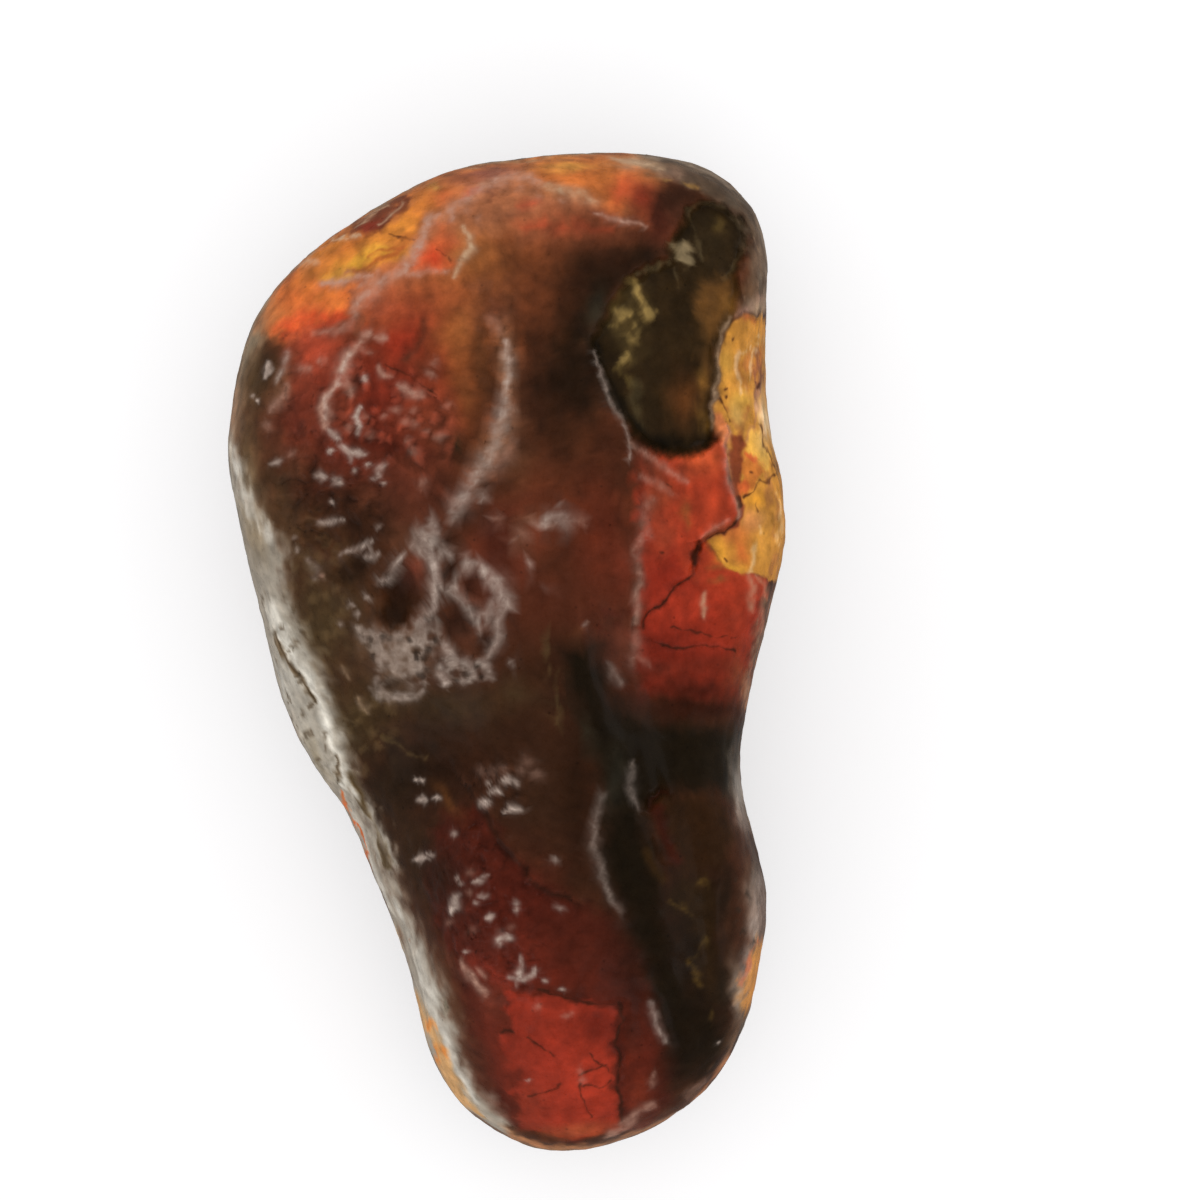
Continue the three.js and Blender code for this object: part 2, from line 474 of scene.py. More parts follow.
NIGHT = Patch((
    (3.3, 0.8), (4.6, 0.5), (5.5, 0.2), (5.9, -1), (6.3, -2.4), (7.2, -3.4), (9, -3.9), (12, -4.1),
    (14.2, -4.6), (14, -8.4), (10.2, -8.2), (8.8, -8.6), (8.4, -10), (9, -12.4), (9.4, -15),
    (10.2, -17.6), (11, -19.8), (12.6, -21.8), (13.4, -23.4), (12.2, -25), (10.2, -24.8), (9.2, -22.6),
    (8.2, -19.6), (7.2, -17), (6.6, -15), (5.8, -13.2), (5.5, -11.6), (5.9, -9.6), (5.8, -7.6),
    (5.2, -5.6), (4.4, -3.8), (3.7, -1.8),
))
LOBE = Patch((
    (9, -8.9), (9.7, -8.3), (11.5, -8.5), (13.2, -9), (13.5, -11), (12.9, -12.8), (11.4, -13),
    (10.4, -12.9), (9.9, -12.2), (9.5, -11), (9.1, -9.9),
))
CRUST = Patch((
    (7.8, 30.5), (8.4, 29), (9.6, 28.7), (10.4, 28.1), (11.6, 27.6), (12.8, 27.2), (13.9, 26.4),
    (14.5, 25), (14.5, 23.4), (14.3, 22.2), (14, 21.2), (14.2, 20.5), (15, 20.2), (18.5, 20.4),
    (18.5, 26), (14, 32),
))
VALLEY = Patch((
    (4.6, 24.6), (6.6, 24.4), (8.2, 24.2), (9.4, 23.9), (8.2, 22.9), (7.2, 22.2), (6.4, 21.2), (5.5, 19.8),
    (5, 18.2), (5.4, 17), (6, 15.6), (5.2, 14.2), (3.8, 14.6), (2.7, 16.2), (2.8, 18.4), (3.9, 20),
    (4.6, 21.6), (4.4, 23.2),
))
SCAB = Patch((
    (-9.3, 25.05), (-8.3, 25.1), (-7.4, 25.3), (-6.8, 25.8), (-6, 26.5), (-5.7, 27.1), (-6.6, 27.1),
    (-8, 26.5), (-9.1, 25.7),
))
COLLAR = Patch((
    (-3.5, 26.2), (-2.9, 27.1), (-1.5, 28.3), (0.6, 28.5), (2.2, 28.2), (2.4, 27.7), (4.2, 27.6),
    (5.5, 27), (6.1, 26.3), (7.4, 25.9), (8.3, 25.8), (7.6, 25.4), (5.2, 25.5), (3.4, 25.2), (1.4, 24.9),
    (0.2, 25.1), (-1.6, 25.3), (-2.6, 25.5), (-3.3, 25.2),
))
HOT_TOP = Patch((
    (1.5, 29.8), (6, 29.9), (7.2, 29.4), (7.6, 28.2), (7.2, 27), (6.6, 26.5), (5.8, 26.8), (5.4, 27.5),
    (4.2, 27.75), (2.7, 27.85), (2, 28.4), (1.4, 28.9),
))
ORANGE_TOP = Patch((
    (-15, 19.4), (-13.9, 21.3), (-12.6, 22.8), (-11.4, 22.2), (-10.4, 21.8), (-9.2, 21.7), (-9.1, 20.6),
    (-9.6, 20.1), (-11, 20), (-12.2, 19.3), (-13.4, 19),
))
RED_BLOB = Patch((
    (-4.9, 24.4), (-4.4, 25.5), (-3.6, 25.7), (-3, 24.8), (-3.3, 23.7), (-2.9, 23.2), (-3.4, 22.9),
    (-4.3, 22.6), (-5, 22.9), (-5.7, 23), (-4.9, 23.7),
))

PLATE_CRACK = (
    (13.9, 7.9), (13.2, 7.2), (12.3, 6.9), (11.7, 6.7), (11.5, 6), (11.3, 5.3), (11, 4.7), (10.4, 4.2),
    (9.9, 3.7), (9.6, 3.2), (8.9, 2.8), (8.4, 2.3), (8.1, 1.6),
)
CROSS_CRACK = ((8.2, 0.8), (9, 0.6), (10, 0.3), (10.9, 0.3), (11.7, 0.6), (12.6, 0.5), (13.8, 0.1))
TONGUE_EDGE = (
    (-2.3, -8), (-1.6, -9.2), (-0.8, -10.2), (-0.2, -11.2), (0.6, -12.2), (1.6, -13.4), (2.6, -14.2),
    (3.9, -14.5),
)
RIGHT_CRACK = (
    (6.8, -20.7), (7, -21.8), (6.6, -23.1), (6.85, -24.4), (6.65, -25.8), (6.8, -27.2), (6.95, -28),
)
END_CRACKS = (
    ((2, -20.1), (3.6, -20.5), (4.8, -20.85), (6.5, -20.85)), ((1.3, -22.9), (2, -23.3), (2.8, -23.9)),
    ((5, -23.9), (5.6, -24.5), (6.1, -24.9)), ((4.2, -25.2), (5.2, -24.8), (5.9, -24.6)),
    ((4.6, -25.8), (5.6, -25.8), (6.3, -25.4)), ((1.2, -26.4), (2.2, -26.1), (3.2, -25.7)),
    ((4.4, -25.6), (4.5, -26.6), (5, -27.6)),
)
AMBER_CRACKS = (
    ((14.3, 9.5), (15, 10), (15.6, 10.3), (16.2, 10.9)), ((15, 13.6), (15.6, 12.2), (16.1, 11)),
    ((-6.9, 25.1), (-6.4, 24.8), (-5.9, 24.65), (-5.4, 24.6)), ((12.6, 15.3), (13, 14.6), (13.3, 13.8)),
)
CENTRE_RIDGE = (
    (-0.9, 19.8), (-0.2, 18.9), (0.15, 17.6), (0.1, 16), (-0.1, 14.2), (-0.45, 12.6), (-1.2, 11.1),
    (-2.2, 10), (-2.9, 8.9), (-3.1, 8.1),
)
BROW = ((-9, 18.2), (-9.4, 17.2), (-10, 16.2), (-10.5, 15.2), (-10.8, 14.2), (-10.9, 13.4))
LEFT_BANK = (
    (5.9, -8.4), (5.5, -9.6), (5.2, -10.6), (5.2, -11.6), (5.6, -12.6), (5.8, -13.4), (6.3, -14.4),
    (6.8, -15.4),
)
WALL_CREST = (
    (-14.1, 2.8), (-13.2, 0.7), (-12.2, -0.9), (-11.3, -2.4), (-10.8, -4), (-10.5, -5.6), (-10, -6.8),
    (-9.3, -8.2), (-8.6, -9.8),
)
WALL_GROOVES = (
    ((-13.7, 1.2), (-13.4, 0.2), (-12.7, -0.9), (-12, -1.9), (-11.6, -2.8)),
    ((-10.3, -6.2), (-9.9, -7.3), (-9.5, -8.4)),
)
OLIVE_GROOVE = ((-9.1, -7.4), (-8.7, -8.6), (-8.3, -9.8), (-7.8, -11), (-7.3, -12.2), (-7.1, -12.8))
LOBE_RIM = ((8, -8.8), (8.4, -9.4), (8.8, -10.4), (9.2, -11.4), (9.6, -12))


# ---- Relief of the skin ----


@dataclass(frozen=True)
class Crest:
    """A ridge, or a groove where its height is negative.

    Attributes:
        points: Line that it follows.
        width: How far its sides reach.
        height: How far it stands up.
        ragged: Share of the height that comes and goes along the line.
    """

    points: Points
    width: float
    height: float
    ragged: float = 0.3

    def rise(self, skin: Skin) -> Array:
        """Returns how much the ridge adds at each place."""
        reach = line_distance(skin.plan, self.points)[0] + 0.3 * self.width * skin.astray
        ragged = 1 + self.ragged * skin.noise(GrainSeed.RELIEF, 0.8, 2)
        return self.height * bell(reach / self.width) * ragged


@dataclass(frozen=True)
class Cup:
    """A round hollow with a raised rim.

    Attributes:
        mouth: Oval of its rim.
        depth: How far down its middle lies.
        rim: Height of the rim.
    """

    mouth: Pool
    depth: float
    rim: float = 0.12

    def rise(self, skin: Skin) -> Array:
        """Returns how much the cup adds at each place."""
        share = self.mouth.share(skin.plan) * (1 + 0.12 * skin.astray)
        bowl = np.clip(1 - share**2, 0, 1) ** 1.4
        return -self.depth * bowl + self.rim * bell((share - 1.1) / 0.25)


@dataclass(frozen=True)
class Break:
    """An area where a layer has come away, with a wall round it.

    Attributes:
        area: What has come away.
        depth: Thickness of the lost layer.
        wall: Width of the wall.
        stray: How far the wall wanders.
    """

    area: Shape
    depth: float
    wall: float
    stray: float = 0.1

    def rise(self, skin: Skin) -> Array:
        """Returns how much the break adds at each place."""
        return -self.depth * self.area.cover(skin, self.wall / 2, self.stray)


@dataclass(frozen=True)
class Ledge:
    """A step along a line, higher on the line's left-hand side.

    Attributes:
        points: Line of the step.
        height: How far it stands up.
        wall: Width of the step.
        reach: How far from the step the ground is back to where it was.
    """

    points: Points
    height: float
    wall: float = 0.25
    reach: float = 2.0

    def rise(self, skin: Skin) -> Array:
        """Returns how much the ledge adds at each place."""
        distance, side, _ = line_distance(skin.plan, self.points)
        signed = distance * side + 0.1 * skin.astray
        lift = smoothstep(-self.wall / 2, self.wall / 2, signed)
        return self.height * (lift - 0.5) * bell(distance / self.reach)


@dataclass(frozen=True)
class Bumps:
    """Domes over scattered spots, or pits where their height is negative.

    Attributes:
        spots: Where they are.
        height: How far it stands up.
    """

    spots: Spots
    height: float

    def rise(self, skin: Skin) -> Array:
        """Returns how much the bumps add at each place."""
        return self.height * self.spots.cover(skin)


@dataclass(frozen=True)
class Lumps:
    """Small unevenness over some shapes.

    Attributes:
        areas: Where it is.
        size: Distance between lumps.
        height: How far it stands up.
    """

    areas: tuple[Shape, ...]
    size: float
    height: float

    def rise(self, skin: Skin) -> Array:
        """Returns how much the lumps add at each place."""
        lumps = skin.noise(GrainSeed.BUBBLE, self.size, 3)
        return self.height * lumps * cover_any(skin, self.areas, 1.0, 0.5)


BUBBLY = (Pool(-10.2, 9, 4, 4.4), Pool(-5, 3.4, 5, 5.2), Pool(-0.4, -8.2, 2.2, 1.6), Pool(-3, -13, 2.4, 4))
BERRIES = Spots((BERRY_BASIN,), 0.9, 0.4, 0.8, 1.2, 3)
FOAM_PITS = Spots((FOAM, Pool(-2.4, -1, 1.7, 0.8)), 0.7, 0.34, 0.5, 0.5, 5)
LOWER_BUMPS = Spots((Pool(-1, -15.4, 5.4, 3.4, 100),), 1.3, 0.55, 0.6, 2, 7)
CENTRE_BUMPS = Spots((Pool(-0.3, -8, 2, 1.6),), 0.8, 0.55, 0.8, 0.8, 8)
LEFT_BUMPS = Spots((Pool(-10.4, 9.4, 3.4, 3.2), Pool(-12.6, 15, 2, 3)), 1.3, 0.55, 0.7, 2, 9)

RELIEF: tuple[Crest | Cup | Break | Ledge | Bumps | Lumps, ...] = (
    Break(DARK_POCKET, 1.2, 0.9, 0.12),
    Break(AMBER_SIDE, 0.35, 0.5, 0.05),
    Break(AMBER_TOP, 0.15, 0.6, 0.08),
    Break(END_PLATE, 0.08, 0.3, 0.04),
    Crest(CENTRE_RIDGE, 0.9, 0.75, 0.4),
    Crest(((-1.5, 19.2), (-1.5, 16.8), (-1.7, 14.6)), 0.9, -0.2),
    Crest(BROW, 0.5, 0.4),
    Crest(((-4.6, 20.2), (-4.9, 19.3), (-5.3, 18.5), (-5.9, 17.6)), 0.3, -0.1),
    Crest(((-2.9, 12.8), (-2.8, 11.9)), 0.5, -0.15),
    Crest(LEFT_BANK, 0.8, 0.25, 0.4),
    Crest(((7.5, -6.3), (7.45, -7.4), (7.6, -8.6), (8, -9.3)), 0.8, 0.3),
    Crest(LOBE_RIM, 0.45, 0.15),
    Crest(((8.6, -9.1), (8.7, -8.6), (9.2, -8.3)), 0.3, -0.4),
    Crest(PLATE_CRACK, 0.16, -0.16),
    Crest(((11.6, 6.6), (11.5, 5.9), (11.3, 5.2)), 0.28, -0.2),
    Crest(CROSS_CRACK, 0.12, -0.08),
    Crest(RIGHT_CRACK, 0.28, -0.2, 0.5),
    *(Crest(crack, 0.1, -0.04) for crack in END_CRACKS + AMBER_CRACKS),
    Crest(WALL_CREST, 0.5, 0.3, 0.2),
    *(Crest(groove, 0.24, -0.4) for groove in WALL_GROOVES),
    Crest(OLIVE_GROOVE, 0.5, -0.3),
    Crest(((8.7, -26.9), (8.1, -27.2), (7.4, -27.9), (6.6, -28.5)), 0.35, 0.15),
    Crest(((8.6, -20.8), (8.9, -21.8), (9.5, -23.2)), 0.6, 0.2),
    Crest(((7.4, 12.6), (8.4, 11.8), (9.4, 11.2), (10.7, 10.2)), 0.4, 0.12),
    Ledge(((7.6, 2.4), (7.8, 4.4), (7.9, 6.4), (8, 8.6)), 0.35, 0.7, 1.4),
    Ledge(((11.9, 7.1), (13, 7.7), (13.9, 8.4), (13.3, 10.4), (13.1, 13)), 0.3, 0.3, 1.2),
    Ledge(TONGUE_EDGE, 0.3, 0.5, 1.6),
    Cup(Pool(-6.35, 3.5, 2.3, 1.5, 85), 0.9, 0.25),
    Cup(Pool(-3.3, 4.9, 0.75, 0.6, 30), 0.35),
    Cup(Pool(-1.8, 3.9, 0.8, 0.7), 0.45),
    Cup(Pool(-2.6, 1.8, 1.4, 1.1, 60), 0.65),
    Cup(Pool(-1.4, 0.7, 0.85, 0.75), 0.5),
    Cup(Pool(0.1, 6.9, 2.2, 1.7, 70), 0.55, 0.1),
    Cup(Pool(-3, 7.2, 0.8, 0.6, 90), 0.25),
    Cup(Pool(-6.8, -1.6, 0.7, 0.45), 0.2),
    Cup(Pool(-11.2, 7.1, 1.3, 0.8, -20), 0.2),
    Cup(Pool(-9, 5.2, 1.5, 0.9, 20), 0.25),
    Cup(Pool(-10.6, 9, 0.9, 0.7), 0.15),
    Bumps(BERRIES, 0.2),
    Bumps(FOAM_PITS, -0.15),
    Bumps(LOWER_BUMPS, 0.2),
    Bumps(CENTRE_BUMPS, 0.26),
    Bumps(LEFT_BUMPS, 0.24),
    Lumps((BERRY_BASIN, FOAM, Pool(-1, -15.4, 5.4, 3.4, 100), *BUBBLY), 0.9, 0.16),
)


# ---- Layers of the finish ----


@dataclass(frozen=True)
class Cloud:
    """A soft stain without an edge.

    Attributes:
        tone: Its screen colour.
        x: Middle across the stone.
        y: Middle along the stone.
        along: Half its length.
        across: Half its width.
        turn: Direction of its length, in degrees from +X.
        share: How much of it there is in the middle.
        drop: How much further than others it reaches down the flanks.
    """

    tone: Tone
    x: float
    y: float
    along: float
    across: float
    turn: float = 0.0
    share: float = 0.8
    drop: float = 0.0

    def mask(self, skin: Skin) -> Array:
        """Returns how much of the stain each place has."""
        pool = Pool(self.x, self.y, self.along, self.across, self.turn)
        reach = pool.share(skin.plan) * (1 + 0.22 * skin.noise(GrainSeed.CLOUD, 1.6, 3))
        return self.share * bell(0.95 * reach) * bell(np.maximum(0.0, below_drape(skin, self.drop)))


@dataclass(frozen=True)
class Wash:
    """A stain with an edge.

    Attributes:
        tone: Its screen colour.
        soft: How far its edge fades to each side.
        shapes: Where it is.
        share: How much of it there is.
        stray: How far its edge wanders.
        drop: How much further than others it reaches down the flanks.
    """

    tone: Tone
    soft: float
    shapes: tuple[Shape, ...]
    share: float = 1.0
    stray: float = 0.15
    drop: float = 0.0

    def mask(self, skin: Skin) -> Array:
        """Returns how much of the stain each place has."""
        return self.share * cover_any(skin, self.shapes, self.soft, self.stray, self.drop)


# Screen colours of the painted highlights.
MILKY_HIGHLIGHT: Tone = (198, 177, 163)
PINK_HIGHLIGHT: Tone = (190, 146, 126)
STRAW_HIGHLIGHT: Tone = (200, 166, 132)


@dataclass(frozen=True)
class PaintedHighlight:
    """A painted highlight along a crest.

    Attributes:
        points: Line that it follows.
        radius: Half its width.
        strength: How strong the painted highlight is, from 0 to 1.
        tone: Screen colour of the painted highlight at its strongest.
    """

    points: Points
    radius: float
    strength: float
    tone: Tone = MILKY_HIGHLIGHT

    def mask(self, skin: Skin) -> Array:
        """Returns how strong the painted highlight is at each place."""
        reach, _, travel = line_distance(skin.plan, self.points)
        taper = 0.65 + 0.35 * np.sin(math.pi * travel)
        ragged = 1 + 0.35 * skin.noise(GrainSeed.CLOUD, 0.5, 3)
        return self.strength * bell(reach / (1.8 * self.radius * taper)) * ragged


def highlight_dots(radius: float, strength: float, tone: Tone, *middles: tuple[float, float]) -> tuple[PaintedHighlight, ...]:
    """Makes several small round painted highlights."""
    return tuple(PaintedHighlight(((x - 0.06, y), (x + 0.06, y + 0.02)), radius, strength, tone) for x, y in middles)


BASE_TONE = (64, 35, 24)
LAYERS: tuple[Cloud | Wash, ...] = (
    # The broad body colours.
    Cloud((140, 76, 43), -2.4, 21.4, 2.8, 4.6, 8, 1),
    Cloud((122, 65, 38), 1, 23.8, 2.8, 1.6, 0, 0.9),
    Cloud((100, 52, 31), 1.6, 20.6, 1.8, 3.4, 5, 1),
    Cloud((86, 43, 28), 2.4, 9.6, 3.4, 4.4, 0, 1),
    Cloud((94, 38, 25), 5.6, 6.2, 4.6, 2, 90, 1),
    Cloud((126, 68, 37), -2.6, 15.4, 4.4, 1.4, 97, 1),
    Cloud((62, 34, 22), 3.8, 13, 2, 2),
    Cloud((50, 29, 19), 2.9, 15.8, 2.6, 1, 90),
    Cloud((80, 38, 26), 2.4, 3.4, 3, 2.4, 0, 1),
    Cloud((52, 29, 20), -1, -4.4, 5, 2.6, 0, 1),
    Cloud((48, 27, 18), 2.2, -0.8, 1.4, 1),
    Cloud((60, 44, 31), -3.6, -3.2, 3.6, 1.3, 0, 1),
    Cloud((70, 53, 36), 0.6, -2.2, 1.2, 0.8),
    Cloud((56, 34, 24), 1.8, -8.6, 2.2, 4, 0, 1),
    Cloud((40, 23, 15), 4.2, -8, 3.6, 1, 90),
    Cloud((43, 25, 17), 4.4, -13, 1.6, 1, 90, 0.7),
    Cloud((44, 25, 19), -4.2, -7.4, 2.2, 2.2, 0, 1),
    Cloud((72, 50, 34), -13.4, 9.4, 4.4, 2.4, 100, 1),
    Cloud((66, 50, 32), -11, 1.6, 4.2, 2.6, 70, 1),
    Cloud((60, 45, 28), -8.8, -4, 3.4, 2.2, 60, 1),
    Cloud((36, 24, 17), -6.4, -7.6, 3.6, 2, 50, 1),
    Cloud((48, 32, 21), -5, -12.6, 4, 1.5, 120, 1),
    Cloud((90, 55, 38), -2.6, -21.4, 3.6, 1, 112, 1),
    Cloud((50, 26, 18), -11, 9.6, 1.6, 1.2, 0, 0.85),
    # A grey painted sheen over the froth.
    Cloud((98, 78, 66), -6.3, 0, 2, 1.5, 0, 0.9),
    Cloud((44, 27, 20), -6.6, 2.6, 0.8, 0.7, 0, 0.7),
    Cloud((112, 52, 39), -5.5, 5, 0.9, 0.7, 60, 0.85),
    Cloud((78, 43, 33), -2.6, 1.7, 1.3, 1.2, 60),
    Cloud((98, 58, 45), -2.7, 1.3, 0.5, 0.4),
    Cloud((98, 58, 45), -1.7, 0.5, 0.45, 0.35),
    Cloud((84, 42, 32), -1.7, 3.8, 0.8, 0.7),
    Wash((104, 84, 58), 1, (
        Spots((Pool(-11.6, 2.4, 6, 2.6, 80), Pool(-8.6, -5, 3.4, 2, 60)), 0.75, 0.45, 0.6, 2, 14),
    ), 0.4),
    # The warm rim of the broad end.
    Wash((180, 106, 60), 1, (Patch((
        (-15.6, 19), (-14.4, 22), (-12, 24.6), (-8, 27.8), (-3, 30), (9, 30.6), (9.4, 28.8), (8.2, 26.2),
        (5.4, 25.2), (0, 24.8), (-3.6, 22.4), (-6, 21.8), (-9.4, 20.2), (-12.6, 19),
    )),), 0.95, 0.5),
    Cloud((166, 96, 66), -6.4, 22.2, 2.4, 0.7, 24),
    Cloud((124, 66, 42), 3, 24.7, 3.4, 0.7),
    # Red layers that lie under the skin of the upper left.
    Cloud((114, 50, 37), -12, 15.2, 3.4, 2, 85, 1),
    Cloud((176, 70, 48), -11.2, 18.3, 2.2, 1.5, 0, 1),
    Cloud((170, 80, 50), -6.6, 20.4, 2.8, 1.6, 12, 1),
    Cloud((146, 74, 44), -4.4, 21.6, 1.4, 0.9),
    Cloud((150, 48, 31), -6.5, 18.5, 2, 1.2, 35, 1),
    Cloud((138, 56, 36), -8, 17.6, 1, 0.7),
    Cloud((124, 40, 28), -6.8, 15, 3.6, 2.6, -10, 1),
    Cloud((126, 58, 42), -9.8, 14.4, 1.8, 0.9, 80),
    Cloud((130, 60, 41), -5, 14.2, 2, 1.6, -20),
    Cloud((104, 50, 35), -3.7, 12.4, 1.8, 0.8, 100),
    Cloud((92, 38, 29), -9.2, 11.6, 3.2, 1.4, -20, 1),
    Cloud((80, 28, 20), -7.4, 12.5, 2.4, 0.6, -14),
    Cloud((100, 47, 35), -5.4, 10, 2.4, 1.6, 0, 1),
    Cloud((50, 29, 21), -8.4, 7.9, 2.4, 1.5, 0, 0.85),
    Cloud((46, 29, 22), -8.6, 4.9, 1.4, 0.8, 20),
    Cloud((98, 50, 37), -5.2, 8.6, 1.4, 1.4),
    Cloud((94, 56, 41), -6.2, 6.8, 1, 0.8),
    Cloud((84, 46, 34), -7.8, 9.2, 0.9, 0.6, 0, 0.7),
    Wash((92, 50, 38), 0.35, (Trail(((-4.6, 19.8), (-4.9, 18.8), (-5.4, 18), (-6, 17.5)), 0.1),), 0.7, 0.2),
    # The dark skin of the far left.
    Cloud((78, 58, 39), -14.9, 16.6, 2.4, 1.1, 78, 1),
    Cloud((54, 36, 24), -14, 17.2, 1.4, 0.6, 80, 0.85),
    Cloud((110, 78, 58), -13.5, 15.8, 1.4, 0.5, 70, 0.6),
    Cloud((140, 122, 98), -16.1, 15.6, 3, 0.45, 85, 0.6),
    Cloud((158, 104, 70), -16.5, 14.6, 1.2, 0.3, 90),
    Cloud((132, 112, 92), -15.2, 18.4, 1.2, 0.4, 70, 0.7),
    Cloud((100, 78, 56), -15.4, 12.2, 1.6, 0.6, 90),
    # The centre.
    Cloud((96, 38, 28), 0, 6.8, 2.4, 1.7, 70, 0.9),
    Cloud((136, 82, 63), 0.7, 6.8, 0.6, 0.8, 0, 0.9),
    Cloud((112, 58, 44), -0.4, 8, 0.6, 0.4, 0, 0.7),
    Cloud((130, 82, 62), 1.5, 8, 0.7, 0.5),
    Cloud((94, 50, 34), -0.2, 20.4, 1.2, 1),
    Cloud((172, 100, 56), -2.7, 19.2, 1.3, 0.5, 66, 0.9),
    Cloud((150, 84, 43), -3, 18.2, 2, 0.8, 95, 0.7),
    Cloud((118, 68, 40), -1.4, 17.4, 2.8, 0.6, 92, 0.85),
    Cloud((112, 64, 36), -2.4, 15.2, 1.4, 0.5, 95, 0.7),
    # A painted highlight along the central ridge.
    Cloud((122, 86, 64), 0.05, 16.6, 3, 0.5, 90),
    Cloud((124, 86, 64), -0.7, 12.2, 2, 0.75, 62),
    Cloud((64, 50, 34), -2.85, 12.3, 0.6, 0.25, 100, 0.85),
    Cloud((142, 84, 46), -1.6, 23.4, 1.8, 1.3),
    Cloud((136, 54, 34), -3.9, 17, 1.4, 0.7, 80, 0.6),
    Cloud((56, 31, 20), 3.8, 20.8, 2.6, 0.8, 84),
    Cloud((106, 66, 45), 0.7, 11.4, 1.6, 0.8, 80, 0.7),
    # The dark valley and the night channel.
    Wash((32, 21, 15), 1, (VALLEY,), 0.9, 0.4),
    Cloud((48, 27, 19), 5.8, 23.2, 1.6, 0.8, 15),
    Cloud((14, 12, 9), 5.6, 18, 1.4, 0.6, 95, 0.95),
    # A painted reflection: grey sheen on the valley's side.
    Cloud((50, 47, 40), 5.4, 20.6, 1.3, 0.5, 80),
    Cloud((78, 42, 28), 6.4, 24.5, 1.8, 0.5, 8),
    Wash((25, 20, 14), 1, (NIGHT,), 0.95, 0.35),
    # A painted reflection: grey sheen on the banks of the night channel.
    Cloud((46, 44, 38), 6.5, -7.4, 1.7, 0.5, 84, 0.9),
    Cloud((44, 42, 35), 5.1, -5, 1.6, 0.3, 115, 0.85),
    Cloud((28, 19, 13), 11.4, -17.6, 5, 1.8, 100, 1),
    Wash((46, 28, 16), 0.45, (LOBE,), 0.95),
    Wash((62, 24, 17), 0.3, (Trail(((9, -9.4), (9.2, -10.2), (9.6, -11.2), (10.1, -12.2)), 0.35),), 0.85),
    Wash((42, 28, 16), 0.5, (Patch((
        (10.4, -13.4), (11.6, -13), (12.4, -14), (12.6, -16), (12.4, -18), (12.8, -20.4), (12.4, -21),
        (11.4, -20), (11.2, -18.4), (11.4, -17), (10.8, -15.8), (10, -15.2), (9.9, -14.4),
    )),)),
    Cloud((32, 22, 16), 13, -14.2, 1.8, 0.6, 90, 0.85),
    Cloud((34, 26, 20), 12.9, -20, 1.8, 0.4, 95),
    Wash((82, 62, 28), 0.2, (
        Pool(11.6, -13.6, 0.35, 0.12), Trail(((9.9, -14.8), (10.6, -15.3), (11.1, -15.6)), 0.08),
        Pool(11.2, -18, 0.15, 0.12), Trail(((11, -18.3), (11.4, -19), (11.5, -19.9)), 0.1),
        Pool(12.3, -21.6, 0.1, 0.2), Trail(((11.9, -16.7), (11.5, -17.6)), 0.08),
    ), 0.8, 0.25),
    Wash((54, 36, 17), 0.3, (Trail(((8.4, -11.8), (8.9, -12.8), (9.4, -13.5)), 0.3),), 0.8),
    # Red layers of the narrow end.
    Wash((70, 26, 19), 0.6, (LOWER_RED,), 1, 0.35),
    Cloud((42, 24, 18), -3.9, -13.2, 2, 1.2, 110, 0.85),
    Cloud((78, 26, 19), 0.6, -14.8, 2.6, 2.6, 0, 0.9),
    Cloud((96, 34, 25), 1, -18, 2.4, 1.6, 0, 0.9),
    Cloud((82, 31, 22), 4.8, -18.6, 1.8, 2.2),
    Cloud((98, 33, 23), 2.6, -19.2, 2, 0.6),
    Cloud((50, 22, 16), 7.4, -18.6, 3, 0.9, 105),
    Cloud((116, 38, 27), -0.8, -19.1, 1.8, 0.6, -35, 0.9),
    Cloud((112, 50, 37), -0.9, -20.9, 1.2, 0.8, 100),
    Cloud((100, 36, 26), -0.8, -22.6, 1.4, 0.8, 100),
    Cloud((104, 38, 27), -0.3, -24.8, 1.6, 0.7, 100),
    Cloud((78, 42, 31), -1.9, -24.2, 2.6, 0.7, 112, 0.7),
    Cloud((100, 34, 23), 8.2, -24.2, 1.8, 0.9, 90, 0.9),
    Cloud((118, 44, 28), 7.9, -26.2, 0.9, 0.7, 90, 0.9),
    Cloud((66, 27, 19), 7.4, -22.2, 1.4, 0.5, 100),
    Cloud((28, 20, 15), 10.6, -23.6, 2.2, 1.2, 70, 0.9),
    Cloud((98, 58, 30), -3.5, -8.7, 0.35, 1.2, 38),
    Wash((38, 22, 17), 0.2, (Trail(TONGUE_EDGE, 0.1),), 0.7, 0.1),
    # Thin lines in the waist and the night channel.
    Wash((84, 68, 44), 0.14, (
        Trail(((2.5, 1), (2.5, -1.2)), 0.1), Trail(((3.1, -0.6), (3, -2.6), (3, -4.2)), 0.1),
        Trail(((-7.2, -5), (-6, -5.8), (-4.8, -6.2)), 0.06),
    ), 0.6, 0.2),
    Wash((116, 74, 50), 0.16, (
        Trail(((5, 2.2), (4.5, 1.4), (4.3, 0.9)), 0.1), Pool(3.3, -24.6, 0.2, 0.15),
    ), 0.6, 0.2),
    Wash((66, 20, 16), 0.2, (
        Trail(((5.2, 3), (6.2, 2.4), (7.4, 2.6)), 0.06), Trail(((5.6, 1.4), (6.6, 1.7), (7.6, 1.4)), 0.06),
    ), 0.5, 0.25),
    # Plates, windows and pockets with crisp edges.
    Wash((140, 42, 28), 0.6, (RED_PLATE,), 1, 0.4),
    Wash((160, 54, 34), 0.18, (RED_PLATE_TOP,), 1, 0.08),
    Cloud((176, 74, 43), 11.8, 11.6, 1.8, 0.9, 20, 1),
    Cloud((92, 45, 33), 8.4, 11.5, 0.8, 1.2, 40, 0.9),
    Cloud((124, 58, 40), 8.7, 8.8, 1.3, 0.6, 90),
